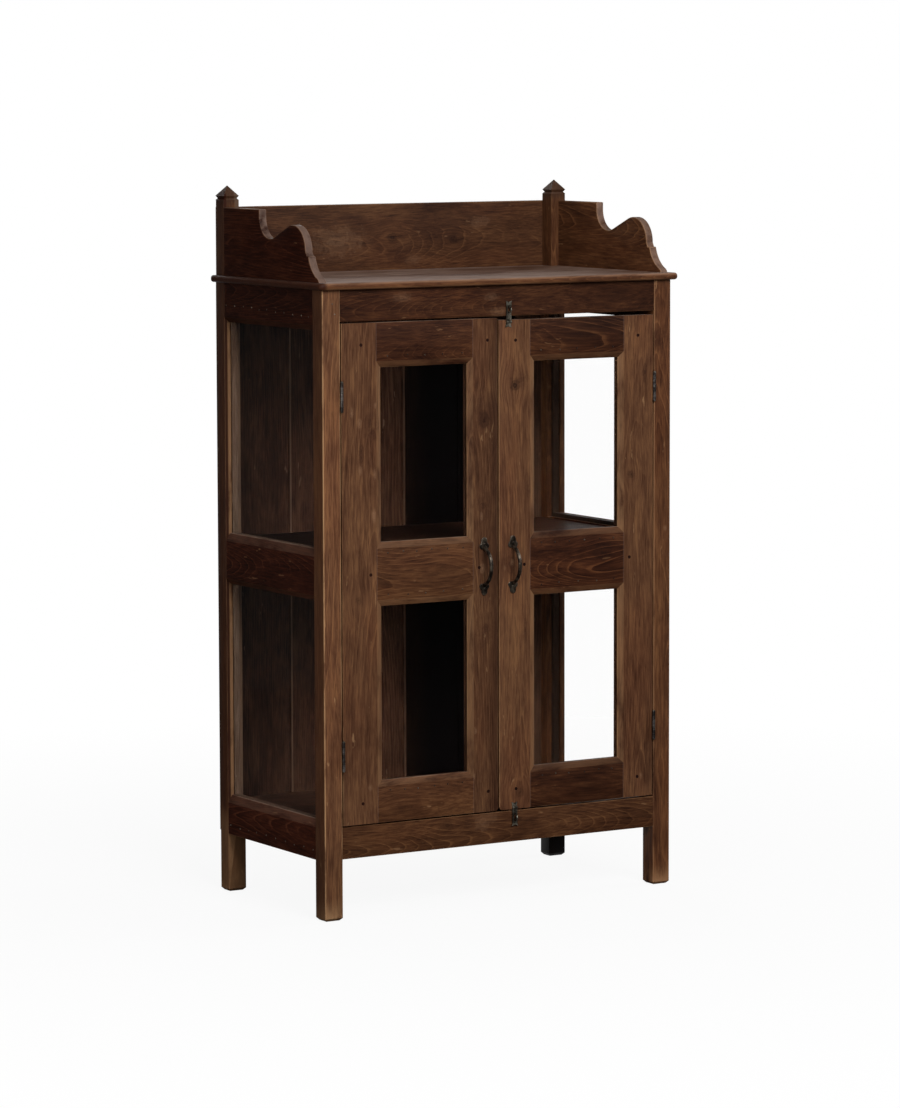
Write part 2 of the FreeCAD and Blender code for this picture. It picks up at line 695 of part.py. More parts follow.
# Doors
class Door:
    """One door: places along it are measured from its hinge edge."""

    def __init__(self, side, hinge_stile, meeting_stile, top):
        self.side = side
        self.top = top
        self.hinge_x = side * (inner_half - hinge_gap)
        self.meeting_x = meeting_offset + side * meeting_gap / 2
        self.width = abs(self.meeting_x - self.hinge_x)
        self.opening = (hinge_stile, self.width - meeting_stile)
        self.shoulders = (hinge_stile - door_bevel, self.width - meeting_stile + door_bevel)
        self.stiles = (hinge_stile, meeting_stile)
        self.rails = {
            "bottom_rail": (door_z, windows[0][0]),
            "middle_rail": (windows[0][1], windows[1][0]),
            "top_rail": (windows[1][1], top),
        }

    def x(self, along):
        """X of a place along the door."""
        return self.hinge_x - self.side * along

    def slab(self, outline):
        """Piece of the door's thickness with an outline of places along and up."""
        return prism([door_place(self.x(a), z, 0) for a, z in outline], V(0, door_thickness, 0))

    def window_box(self, i):
        """Opening of a window as X and Z bounds."""
        xs = sorted(self.x(a) for a in self.opening)
        return (xs[0], xs[1], windows[i][0], windows[i][1])

    def window_cuts(self):
        """Bevels and rebates round both windows."""
        tools = []
        for i in range(len(windows)):
            x0, x1, z0, z1 = self.window_box(i)
            tools.append(frame_bevel(door_place, (x0, x1, z0, z1), (door_bevel,) * 4, door_bevel_depth))
            tools.append(box(x0 - rebate_width, x1 + rebate_width, front_y + door_lip, door_back + overrun,
                             z0 - rebate_width, z1 + rebate_width))
        return tools

    def tenon(self, rail, end):
        """Tenon of a rail in the hinge stile (end 0) or the meeting stile (end 1), as bounds."""
        z0, z1 = self.rails[rail]
        low = z0 + (tenon_inset if rail == "bottom_rail" else door_tenon_margin)
        high = z1 - (tenon_inset if rail == "top_rail" else door_tenon_margin)
        shoulder = self.shoulders[end]
        reach = (self.stiles[end] - door_bevel) * door_tenon_share
        tip = shoulder - reach if end == 0 else shoulder + reach
        y0 = front_y + (door_thickness - tenon_thickness) / 2
        return (self.x(shoulder), self.x(tip), y0, y0 + tenon_thickness, low, high)

    def peg(self, rail, end, radius):
        """Peg, or with a larger radius its hole, through a joint."""
        x0, x1, y0, y1, low, high = self.tenon(rail, end)
        reach = middle_peg_reach if rail == "middle_rail" else peg_reach
        way = 1 if x1 > x0 else -1
        start = V(x0 + way * reach, front_y, (low + high) / 2)
        return Part.makeCylinder(radius, door_thickness, start, Y_AXIS)

    def joints(self, end=None):
        """Rail and end of each joint, or of those at one end."""
        return [(rail, e) for rail in self.rails for e in (0, 1) if end is None or e == end]

    def stile(self, end):
        """Hinge stile (end 0) or meeting stile (end 1), with mitred bevels beside the windows."""
        edge = 0 if end == 0 else self.width
        outline = [(edge, door_z), (self.shoulders[end], door_z)]
        for z0, z1 in windows:
            outline += [(self.shoulders[end], z0 - door_bevel), (self.opening[end], z0),
                        (self.opening[end], z1), (self.shoulders[end], z1 + door_bevel)]
        outline += [(self.shoulders[end], self.top), (edge, self.top)]
        stile = self.slab(outline)
        if end == 1:
            corner = [e for e in stile.Edges if e.BoundBox.ZMax < door_z + overrun
                      and abs(e.CenterOfMass.x - self.meeting_x) < overrun
                      and e.BoundBox.YLength > door_thickness / 2]
            stile = stile.makeFillet(door_corner_radius, corner)
        tools = [box(*grown(self.tenon(rail, e), joint_clearance)) for rail, e in self.joints(end)]
        tools += [self.peg(rail, e, peg_radius + peg_clearance) for rail, e in self.joints(end)]
        if end == 0:
            tools += [hinge_gain(self.side, z0, False) for z0 in hinge_heights[self.side]]
        return cut_all(stile, tools + self.window_cuts())

    def rail(self, name):
        """Rail with a tenon at each end and mitred bevels where it meets a window."""
        z0, z1 = self.rails[name]
        (a, b), (oa, ob) = self.shoulders, self.opening
        below = [(a, z0), (b, z0)] if name == "bottom_rail" else \
            [(a, z0 + door_bevel), (oa, z0), (ob, z0), (b, z0 + door_bevel)]
        above = [(b, z1), (a, z1)] if name == "top_rail" else \
            [(b, z1 - door_bevel), (ob, z1), (oa, z1), (a, z1 - door_bevel)]
        rail = self.slab(below + above)
        for end in (0, 1):
            rail = rail.fuse(box(*self.tenon(name, end)))
        tools = [self.peg(name, end, peg_radius + peg_clearance) for end in (0, 1)]
        return cut_all(rail, tools + self.window_cuts()).removeSplitter()

    def pegs(self):
        """All pegs of the door."""
        return [self.peg(rail, end, peg_radius) for rail, end in self.joints()]

    def pane(self, i):
        """Pane of a window, in its rebate."""
        x0, x1, z0, z1 = self.window_box(i)
        edge = rebate_width - glass_clearance
        return box(x0 - edge, x1 + edge, front_y + door_lip, front_y + door_lip + glass_thickness,
                   z0 - edge, z1 + edge)

    def beads(self):
        """Glazing beads of both windows."""
        depth = door_lip + glass_thickness
        return [bead for i in range(len(windows))
                for bead in bead_frame(door_place, self.window_box(i), depth, depth + door_bead_depth)]


# Bow handles
def handle_leaf(x, z, way):
    """Three-lobed end plate: two lobes beside the bow's root and a rounded tip, up or down by way."""
    disc = lambda across, along, radius: Part.makeCylinder(
        radius, handle_leaf_thickness, V(x + across, front_y, z + way * along), -Y_AXIS)
    tip_z = handle_leaf_length - handle_tip_radius
    ends = sorted((z + way * handle_lobe_lap, z + way * tip_z))
    half = handle_neck_half_width
    neck = box(x - half, x + half, front_y - handle_leaf_thickness, front_y, *ends)
    lobes = [disc(side * handle_lobe_spread, handle_lobe_lap, handle_lobe_radius) for side in (LEFT, RIGHT)]
    return neck.fuse(lobes + [disc(0, tip_z, handle_tip_radius)])


def handle(x):
    """Cast bow with a leaf at each end, on the face of a door."""
    leaf_root = handle_height / 2 - handle_leaf_length
    half = leaf_root + handle_bow_lap
    root_y = front_y - handle_leaf_thickness / 2
    sag = handle_reach - handle_leaf_thickness / 2 - handle_bow_radius
    radius = (half ** 2 + sag ** 2) / (2 * sag)
    centre = V(x, root_y - sag + radius, handle_centre_z)
    turn = 2 * math.asin(half / radius)
    start = V(x, root_y, handle_centre_z - half)
    spoke = start - centre
    section = Part.Face(Part.Wire(Part.Circle(start, X_AXIS.cross(spoke), handle_bow_radius).toShape()))
    bow = section.revolve(centre, -X_AXIS, math.degrees(turn))
    behind = box(x - handle_reach, x + handle_reach, front_y, front_y + handle_reach,
                 handle_centre_z - handle_height, handle_centre_z + handle_height)
    ends = [handle_leaf(x, handle_centre_z + way * leaf_root, way) for way in (1, -1)]
    return bow.fuse(ends).cut(behind).removeSplitter()


# Hasps
hasp_axis_y = front_y - hasp_knuckle_radius - knuckle_clearance


def hasp_axis_z(way):
    """Height of a hasp's pin: just inside the right door's top or bottom edge."""
    return right_door_top - hasp_axis_inset if way > 0 else door_z + hasp_axis_inset


def hasp_plate(x, axis_z, way, start, length, y0):
    """Plate that runs from start to a fishtail end, way up or down from the axis."""
    half = hasp_half_width
    outline = [(-half, start), (half, start), (half, length - hasp_taper), (half + hasp_flare, length),
               (0, length - hasp_notch), (-half - hasp_flare, length), (-half, length - hasp_taper)]
    return prism([V(x + a, y0, axis_z + way * t) for a, t in outline], V(0, hasp_thickness, 0))


def hasp_knuckle(x0, x1, axis_z, radius):
    """Cylinder about the hasp's axis between two places across it."""
    return Part.makeCylinder(radius, x1 - x0, V(x0, hasp_axis_y, axis_z), X_AXIS)


def hasp_leaf(x, way):
    """Leaf on the right door with two knuckles and a riveted pin."""
    axis_z = hasp_axis_z(way)
    half, mid = hasp_half_width, hasp_middle_knuckle / 2
    leaf = hasp_plate(x, axis_z, -way, 0, hasp_leaf_length, front_y - hasp_thickness)
    for x0, x1 in ((x - half, x - mid - knuckle_gap), (x + mid + knuckle_gap, x + half)):
        leaf = leaf.fuse(hasp_knuckle(x0, x1, axis_z, hasp_knuckle_radius))
    leaf = leaf.cut(hasp_knuckle(x - mid - knuckle_gap, x + mid + knuckle_gap, axis_z,
                                 hasp_knuckle_radius + knuckle_clearance))
    return leaf.fuse(hasp_knuckle(x - half, x + half, axis_z, hasp_pin_radius)).removeSplitter()


def staple_reach(staple_z, way):
    """Least and greatest distance of a staple's loop from the hasp's axis."""
    arch_y = front_rail_front - staple_standout + staple_wire_radius + staple_half_span
    outer = staple_half_span + staple_wire_radius
    away = math.hypot(arch_y - hasp_axis_y, staple_z - hasp_axis_z(way))
    return abs(staple_z - hasp_axis_z(way)) - outer, away + outer


def hasp_strap(x, staple_z, way):
    """Slotted strap that turns on the leaf's pin and drops over the staple."""
    axis_z = hasp_axis_z(way)
    mid = hasp_middle_knuckle / 2
    near, far = staple_reach(staple_z, way)
    length = far + slot_margin + hasp_tip_length
    strap = hasp_plate(x, axis_z, way, 0, length, hasp_axis_y - hasp_thickness / 2)
    for x0, x1 in ((x - hasp_half_width - overrun, x - mid), (x + mid, x + hasp_half_width + overrun)):
        strap = strap.cut(hasp_knuckle(x0, x1, axis_z, hasp_knuckle_radius + knuckle_clearance))
    strap = strap.fuse(hasp_knuckle(x - mid, x + mid, axis_z, hasp_knuckle_radius))
    slot_ends = sorted((axis_z + way * (near - slot_margin), axis_z + way * (far + slot_margin)))
    slot = box(x - slot_half_width, x + slot_half_width,
               hasp_axis_y - overrun, hasp_axis_y + overrun, *slot_ends)
    bore = hasp_knuckle(x - mid - overrun, x + mid + overrun, axis_z, hasp_pin_radius + pin_clearance)
    return cut_all(strap, [slot, bore]).removeSplitter()


def staple(x, z):
    """Wire loop with two legs driven into a front rail."""
    arch_y = front_rail_front - staple_standout + staple_wire_radius + staple_half_span
    leg_length = front_rail_front + staple_embed - arch_y
    legs = [Part.makeCylinder(staple_wire_radius, leg_length, V(x, arch_y, z + s), Y_AXIS)
            for s in (-staple_half_span, staple_half_span)]
    ring = Part.Circle(V(x, arch_y, z - staple_half_span), Y_AXIS, staple_wire_radius)
    arch = Part.Face(Part.Wire(ring.toShape())).revolve(V(x, arch_y, z), -X_AXIS, 180)
    return arch.fuse(legs).removeSplitter()


def door_stops():
    """Blocks that stop both doors at the meeting line: on the top rail's back and on the bottom board."""
    spans = ((front_top_rail_z - stop_lap, front_top_rail_z + stop_seat),
             (floor_top_z, front_bottom_rail_top + stop_lap))
    x0 = meeting_offset - stop_width / 2
    y1 = front_rail_back + stop_thickness
    return [box(x0, x0 + stop_width, front_rail_back, y1, z0, z1) for z0, z1 in spans]


# Build the carcass
for side, word in ((LEFT, "left"), (RIGHT, "right")):
    nodes["front_%s_post" % word] = front_post(side)
    nodes["back_%s_post" % word] = back_post(side)
    for name, span in side_rails.items():
        nodes["%s_side_%s" % (word, name)] = side_rail(side, span)
    nodes["%s_lower_side_pane" % word] = side_pane(side, side_openings[0])
    nodes["%s_upper_side_pane" % word] = side_pane(side, side_openings[1])
    nodes["gallery_%s_scroll" % word] = scroll_board(side)
for name, span in front_rails.items():
    nodes[name] = front_rail(span)
for name, span in back_rails.items():
    nodes[name] = back_rail(span)
nodes["top_board"] = top_board()
nodes["gallery_back_board"] = gallery_back()
nodes["back_boards"] = Part.makeCompound(back_planks())
nodes["shelf"] = level_board(shelf_top_z, shelf_thickness)
nodes["bottom_board"] = bottom_board()
nodes["board_cleats"] = Part.makeCompound(cleats())
nodes["side_glazing_beads"] = Part.makeCompound(side_beads())
nodes["door_stops"] = Part.makeCompound(door_stops())
nodes["hasp_staples"] = Part.makeCompound([staple(x, z) for x, z, way in staple_places()])
hinge_places = [(side, z0) for side in (LEFT, RIGHT) for z0 in hinge_heights[side]]
nodes["post_hinge_leaves"] = Part.makeCompound([hinge_leaf(side, z0, True) for side, z0 in hinge_places])
nodes["hinge_pins"] = Part.makeCompound([hinge_pin(side, z0) for side, z0 in hinge_places])

# Build the doors
doors = {
    "left_door": Door(LEFT, left_hinge_stile_width, left_meeting_stile_width, left_door_top),
    "right_door": Door(RIGHT, right_hinge_stile_width, right_meeting_stile_width, right_door_top),
}
for word, door in doors.items():
    nodes[word + "_hinge_stile"] = door.stile(0)
    nodes[word + "_meeting_stile"] = door.stile(1)
    for name in door.rails:
        nodes["%s_%s" % (word, name)] = door.rail(name)
    nodes[word + "_lower_pane"] = door.pane(0)
    nodes[word + "_upper_pane"] = door.pane(1)
    nodes[word + "_beads"] = Part.makeCompound(door.beads())
    nodes[word + "_pegs"] = Part.makeCompound(door.pegs())
    nodes[word + "_handle"] = handle(meeting_offset + door.side * handle_offset)
    leaves = [hinge_leaf(door.side, z0, False) for z0 in hinge_heights[door.side]]
    nodes[word + "_hinge_leaves"] = Part.makeCompound(leaves)

# Build the hasps
nodes["hasp_leaves"] = Part.makeCompound([hasp_leaf(x, way) for x, z, way in staple_places()])
for word, (x, z, way) in zip(("top", "bottom"), staple_places()):
    nodes[word + "_hasp_strap"] = hasp_strap(x, z, way)

os.makedirs("parts", exist_ok=True)
for name, shape in nodes.items():
    shape.exportStep("parts/%s.step" % name)
    state = "valid" if shape.isValid() else "NOT VALID"
    print(name, len(shape.Solids), "solids", round(shape.Volume), "mm3", state)
print(len(nodes), "nodes")
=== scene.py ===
# %% [markdown]
# # An old teak cabinet with glazed doors
# The cabinet comes in as a frame of finished solids: posts, rails, panes, hinges and hasps, all in metres
# and all in place. This lesson gives them their looks. The woodwork gets soft, worn edges and a solid
# timber figure, the handles and screws are modelled, and a camera and lamps are set up as in a studio.

# %% Load the frame
import math
import random

import bmesh
import bpy
from mathutils import Euler, Matrix, Vector


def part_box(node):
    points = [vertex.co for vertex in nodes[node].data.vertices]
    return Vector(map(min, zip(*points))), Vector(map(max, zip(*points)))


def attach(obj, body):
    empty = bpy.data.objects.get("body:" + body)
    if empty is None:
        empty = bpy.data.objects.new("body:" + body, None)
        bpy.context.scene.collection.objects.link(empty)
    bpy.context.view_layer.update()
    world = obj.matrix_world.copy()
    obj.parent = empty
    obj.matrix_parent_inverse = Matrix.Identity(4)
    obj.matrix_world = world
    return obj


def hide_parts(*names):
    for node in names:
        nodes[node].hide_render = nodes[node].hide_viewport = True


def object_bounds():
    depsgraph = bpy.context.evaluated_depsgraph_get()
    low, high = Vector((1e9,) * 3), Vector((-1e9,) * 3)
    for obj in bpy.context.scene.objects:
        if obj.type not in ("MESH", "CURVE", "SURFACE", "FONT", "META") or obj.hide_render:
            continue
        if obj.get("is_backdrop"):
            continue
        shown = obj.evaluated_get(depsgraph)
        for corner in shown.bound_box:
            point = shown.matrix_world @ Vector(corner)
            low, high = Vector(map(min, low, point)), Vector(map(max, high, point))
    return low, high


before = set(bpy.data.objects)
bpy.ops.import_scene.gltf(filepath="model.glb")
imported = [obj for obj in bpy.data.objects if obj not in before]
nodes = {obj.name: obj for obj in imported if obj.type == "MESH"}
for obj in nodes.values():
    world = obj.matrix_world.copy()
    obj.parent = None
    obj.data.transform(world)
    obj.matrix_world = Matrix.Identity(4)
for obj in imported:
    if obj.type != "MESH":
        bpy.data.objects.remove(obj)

MM = 0.001
cad_low, cad_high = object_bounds()

# %% [markdown]
# ## Camera
# The photograph was taken with a long lens, from the left of the doors and a little above the top board.
# A camera is placed with three directions: its right, its up and its back. Written down as the columns of
# a matrix they give place and turn at once, which is easier to check than three angles.

# %% Place the camera
camera_place = Vector((-4.23165, -6.96106, 1.49046))
camera_right = Vector((0.85402, -0.52023, -0.00264))
camera_up = Vector((0.05807, 0.09028, 0.99422))
camera_back = camera_right.cross(camera_up)
camera_data = bpy.data.cameras.new("camera")
camera_data.lens = 146.9
camera_data.sensor_width = 36.0
camera = bpy.data.objects.new("camera", camera_data)
bpy.context.scene.collection.objects.link(camera)
turn = Matrix((camera_right, camera_up, camera_back)).transposed()
camera.matrix_world = Matrix.Translation(camera_place) @ turn.to_4x4()
bpy.context.scene.camera = camera
print("camera stands", round(camera_place.length, 2), "m away")

# %% [markdown]
# ## Node helpers
# Every finish here is a small network of nodes. Wired one by one they would fill pages, so a few short
# functions keep them readable: one adds a node and links or sets its inputs, and the others do the sums,
# mixes, noises and ramps that come back in every network.

# %% Nodes, sums and mixes
def add(tree, kind, inputs=None, **settings):
    """Add a node; inputs maps socket names or numbers to a value or to another node's output."""
    made = tree.nodes.new(kind)
    for key, value in settings.items():
        setattr(made, key, value)
    for socket, value in (inputs or {}).items():
        if isinstance(value, bpy.types.NodeSocket):
            tree.links.new(value, made.inputs[socket])
        else:
            made.inputs[socket].default_value = value
    return made


def feed(tree, node, sockets):
    """Link sockets to the inputs of a node that is already there, by name."""
    for label, socket in sockets.items():
        tree.links.new(socket, node.inputs[label])


def sum_of(tree, operation, a, b=0.0, clamp=False):
    """One step of arithmetic on two values."""
    return add(tree, "ShaderNodeMath", {0: a, 1: b}, operation=operation, use_clamp=clamp).outputs[0]


def vector_sum(tree, operation, a, b=None):
    """One step of arithmetic on a vector and, where it takes one, a second vector or a scale."""
    inputs = {0: a}
    if b is not None:
        inputs["Scale" if operation == "SCALE" else 1] = b
    made = add(tree, "ShaderNodeVectorMath", inputs, operation=operation)
    return made.outputs["Value" if operation in ("DOT_PRODUCT", "LENGTH") else "Vector"]


def mixed(tree, share, a, b, blend="MIX"):
    """Two colours mixed by a share."""
    return add(tree, "ShaderNodeMix", {0: share, 6: a, 7: b}, data_type="RGBA", blend_type=blend).outputs[2]


# %% Noises, ramps and colours
def noise(tree, vector, stretch, detail=2.0, roughness=0.5):
    """Outputs of a noise of a given fineness along each direction, in cycles per metre."""
    drawn = vector_sum(tree, "MULTIPLY", vector, stretch)
    inputs = {"Vector": drawn, "Scale": 1.0, "Detail": detail, "Roughness": roughness}
    return add(tree, "ShaderNodeTexNoise", inputs).outputs


def ramp(tree, value, low, high):
    """Share that goes smoothly from 0 at low to 1 at high."""
    inputs = {0: value, 1: low, 2: high}
    return add(tree, "ShaderNodeMapRange", inputs, interpolation_type="SMOOTHSTEP").outputs[0]


def rgb(red, green, blue):
    """Colour from the numbers that a paint program shows, as the light that it stands for."""
    shown = [v / 255 for v in (red, green, blue)]
    return (*[v / 12.92 if v < 0.0404 else ((v + 0.055) / 1.055) ** 2.4 for v in shown], 1.0)


# %% Node groups and materials
def new_group(name, inputs, outputs):
    """Empty node group; both dictionaries hold a name and a kind of socket."""
    group = bpy.data.node_groups.new(name, "ShaderNodeTree")
    for way, sockets in (("INPUT", inputs), ("OUTPUT", outputs)):
        for label, kind in sockets.items():
            group.interface.new_socket(label, in_out=way, socket_type="NodeSocket" + kind)
    return group, add(group, "NodeGroupInput").outputs, add(group, "NodeGroupOutput")


def close_group(group, outlet, results):
    """Link the results to the group's outputs."""
    feed(group, outlet, results)
    print("group", group.name, "with", len(group.nodes), "nodes")
    return group


def new_material(name):
    """Material with nodes, its tree and its shader."""
    material = bpy.data.materials.new(name)
    material.use_nodes = True
    return material, material.node_tree, material.node_tree.nodes["Principled BSDF"]


# %% [markdown]
# ## Stage
# A pale paper roll hangs behind the cabinet and runs out under it. It is white to the camera and through
# glass, and glossy rays see it where it hangs, behind the cabinet, while the rest of the studio is dim.
# So black iron stays black from the front, and the top board gets its sheen from the back. The light path
# node tells these cases apart, in the world for the roll and in the paper for the floor.

# %% Backdrop
WHITE = (1.0, 1.0, 1.0, 1.0)
backdrop_way = Vector((-camera_back.x, -camera_back.y, 0.0)).normalized()
backdrop_edge = (0.70, 0.95)
no_bounce = 0.5
sky_light = 0.09


def seen_white(tree, facing):
    """1 for rays that show the background; after a reflection only the backdrop's share is white."""
    backdrop = ramp(tree, facing, *backdrop_edge)
    path = add(tree, "ShaderNodeLightPath").outputs
    seen = sum_of(tree, "MAXIMUM", path["Is Camera Ray"], path["Is Transmission Ray"])
    seen = sum_of(tree, "MAXIMUM", seen, path["Is Glossy Ray"])
    straight = sum_of(tree, "LESS_THAN", path["Glossy Depth"], no_bounce)
    first = sum_of(tree, "LESS_THAN", path["Diffuse Depth"], no_bounce)
    share = sum_of(tree, "MULTIPLY", sum_of(tree, "MAXIMUM", straight, backdrop), first)
    return sum_of(tree, "MULTIPLY", seen, share)


world = bpy.data.worlds.new("studio")
bpy.context.scene.world = world
world.use_nodes = True
tree = world.node_tree
direction = add(tree, "ShaderNodeTexCoord").outputs["Object"]
white = seen_white(tree, vector_sum(tree, "DOT_PRODUCT", direction, backdrop_way))
strength = add(tree, "ShaderNodeMapRange", {0: white, 3: sky_light, 4: 1.0}).outputs[0]
tree.nodes["Background"].inputs["Color"].default_value = WHITE
feed(tree, tree.nodes["Background"], {"Strength": strength})
print("backdrop hangs towards", [round(v, 2) for v in backdrop_way])

# %% Floor
floor_reach = 3.0
floor_drop = 0.5 * MM
shadow_near, shadow_far = 0.5, 2.2
shadow_glow = 0.92
paper_greys = ((0.12, 0.12, 0.12, 1.0), (0.75, 0.75, 0.75, 1.0))
bpy.ops.object.select_all(action="DESELECT")
bpy.ops.mesh.primitive_circle_add(
    vertices=96, radius=floor_reach, fill_type="NGON", location=(0.0, 0.0, -floor_drop))
floor = bpy.context.object
floor.name = "studio_floor"
floor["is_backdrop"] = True
paper, tree, shader = new_material("studio paper")
tree.nodes.remove(shader)
spot = add(tree, "ShaderNodeTexCoord").outputs["Object"]
along = vector_sum(tree, "DOT_PRODUCT", spot, backdrop_way)
away = vector_sum(tree, "LENGTH", spot)
white = seen_white(tree, sum_of(tree, "DIVIDE", along, away))
fading = {0: away, 1: shadow_near, 2: shadow_far, 3: shadow_glow, 4: 1.0}
glow_share = sum_of(tree, "MULTIPLY", white, add(tree, "ShaderNodeMapRange", fading).outputs[0])
dull = add(tree, "ShaderNodeBsdfDiffuse", {"Color": mixed(tree, white, *paper_greys)}).outputs[0]
glow = add(tree, "ShaderNodeEmission", {"Color": WHITE, "Strength": 1.0}).outputs[0]
roll = add(tree, "ShaderNodeMixShader", {0: glow_share, 1: dull, 2: glow}).outputs[0]
feed(tree, tree.nodes["Material Output"], {"Surface": roll})
floor.data.materials.append(paper)
print("floor reaches", floor_reach, "m")

# %% [markdown]
# ## Lamps
# The photograph has soft light from the front and no hard shadow. Small lamps would draw one, so four
# large squares light the cabinet: a key above the doors, two weaker ones at the sides and one behind.

# %% Lamps
LAMPS = [
    # name, direction seen from the cabinet, distance and size in metres, power in watts
    ("key", (-0.12, -0.86, 0.52), 4.6, 2.2, 178.0),
    ("left fill", (-0.86, -0.46, 0.14), 4.4, 2.6, 52.0),
    ("right fill", (0.93, -0.12, 0.35), 4.2, 1.8, 55.0),
    ("back fill", (0.20, 0.92, 0.34), 4.4, 2.4, 60.0),
]
cad_middle = (cad_low + cad_high) / 2
for name, direction, distance, size, power in LAMPS:
    lamp_data = bpy.data.lights.new(name, "AREA")
    lamp_data.size = size
    lamp_data.energy = power
    lamp = bpy.data.objects.new(name, lamp_data)
    bpy.context.scene.collection.objects.link(lamp)
    way = Vector(direction).normalized()
    turned = way.to_track_quat("Z", "Y").to_matrix().to_4x4()
    lamp.matrix_world = Matrix.Translation(cad_middle + way * distance) @ turned
bpy.context.scene.view_settings.view_transform = "Standard"
print("lamps:", [item.name for item in bpy.data.lights])

# %% [markdown]
# ## Timber figure
# Teak shows its growth rings as arches on a flat-sawn face and as straight lines on a quarter-sawn one.
# Painting those by hand is hopeless, so the timber is made as a solid: rings round a pith that lies
# outside the board, a little askew to it. Each face of a board then cuts the rings as a saw would.
# Along the grain everything is drawn out: fibres, pores, streaks and clouds of stain.

# %% Growth rings
ring_ripple = (60.0, 60.0, 5.0)
ring_clouds = (14.0, 14.0, 4.0)
ring_fading = (0.36, 0.60)
late_power, late_depth, late_edge = 2.6, 0.45, 7.0
early_wood = (0.20, 0.02)


def growth_rings(group, place, swayed, spacing):
    """Dark late wood and pale early wood round the pith, fading in and out along the board."""
    radius = vector_sum(group, "LENGTH", vector_sum(group, "MULTIPLY", swayed, (1.0, 1.0, 0.0)))
    ripple = noise(group, place, ring_ripple)["Fac"]
    part = sum_of(group, "FRACT", sum_of(group, "ADD", sum_of(group, "DIVIDE", radius, spacing), ripple))
    late = sum_of(group, "MULTIPLY", sum_of(group, "POWER", part, late_power), late_depth)
    edge = sum_of(group, "MULTIPLY", sum_of(group, "SUBTRACT", 1.0, part), late_edge)
    early = ramp(group, part, *early_wood)
    bands = sum_of(group, "SUBTRACT", sum_of(group, "MINIMUM", late, edge), early)
    fading = ramp(group, noise(group, place, ring_clouds)["Fac"], *ring_fading)
    return sum_of(group, "MULTIPLY", bands, fading)


# %% Node group: timber figure
FIGURE_NOISES = {
    # mask: follows the swaying rings, cycles per metre across and along the grain, detail, roughness,
    # and the stretch of the noise over which the mask rises, where it isn't the noise itself
    "Fibres": (True, 330.0, 20.0, 4.0, 0.70, None),
    "Pores": (True, 520.0, 24.0, 1.0, 0.50, (0.60, 0.70)),
    "Clouds": (False, 9.0, 3.2, 3.0, 0.60, None),
    "Patches": (True, 38.0, 12.0, 4.0, 0.62, None),
    "Streaks": (True, 120.0, 2.2, 2.0, 0.50, None),
    "Blush": (False, 11.0, 3.0, 3.0, 0.60, (0.42, 0.64)),
    "Flecks": (True, 170.0, 15.0, 3.0, 0.65, (0.56, 0.70)),
    "Marks": (False, 110.0, 22.0, 3.0, 0.60, (0.68, 0.73)),
    "Cracks": (True, 210.0, 7.0, 2.0, 0.60, (0.68, 0.74)),
}
FIGURE_MASKS = ("Rings", *FIGURE_NOISES)
swing_stretch = (5.0, 5.0, 1.8)
swing_middle = (0.5, 0.5, 0.5)


def timber_figure():
    """Masks of a solid timber whose grain runs along Z, in metres from its pith."""
    inputs = {"Vector": "Vector", "Ring spacing": "Float", "Sway": "Float"}
    group, given, outlet = new_group("timber figure", inputs, dict.fromkeys(FIGURE_MASKS, "Float"))
    place = given["Vector"]
    swing = vector_sum(group, "SUBTRACT", noise(group, place, swing_stretch)["Color"], swing_middle)
    swayed = vector_sum(group, "ADD", place, vector_sum(group, "SCALE", swing, given["Sway"]))
    masks = {"Rings": growth_rings(group, place, swayed, given["Ring spacing"])}
    for mask, (sways, across, along, detail, roughness, rise) in FIGURE_NOISES.items():
        drawn = noise(group, swayed if sways else place, (across, across, along), detail, roughness)["Fac"]
        masks[mask] = ramp(group, drawn, *rise) if rise else drawn
    return close_group(group, outlet, masks)


figure_group = timber_figure()

# %% [markdown]
# ## Old finish
# A century of wax, hands and dust lies over the figure. The next group turns the masks into a colour
# between a dark, a middle and a pale tone, lets parts of it blush red, darkens the pores and flecks, rubs
# the edges bare where the piece says so, scatters pale knocks, lays patchy dust on what faces up, which is
# partly painted sheen, and puts out roughness and a height.

# %% Node group: old finish
TONE_WEIGHTS = {"Fibres": 1.70, "Clouds": 0.90, "Patches": 1.00, "Streaks": 0.50}
LINE_DEPTHS = {"Pores": 0.55, "Cracks": 1.00, "Flecks": 0.50}
WEAR_PATCHES = {"Wear": (0.28, 0.58), "Scuff": (0.35, 0.65)}
DUST_PATCHES = {"Clouds": (0.20, 0.60), "Patches": (0.22, 0.58)}
blush_tint = (1.00, 0.90, 0.88, 1.0)
blush_share, line_share, mark_share, dust_and_sheen_share = 0.75, 0.75, 0.55, 0.80
waxed_roughness, dry_roughness = 0.42, 0.16


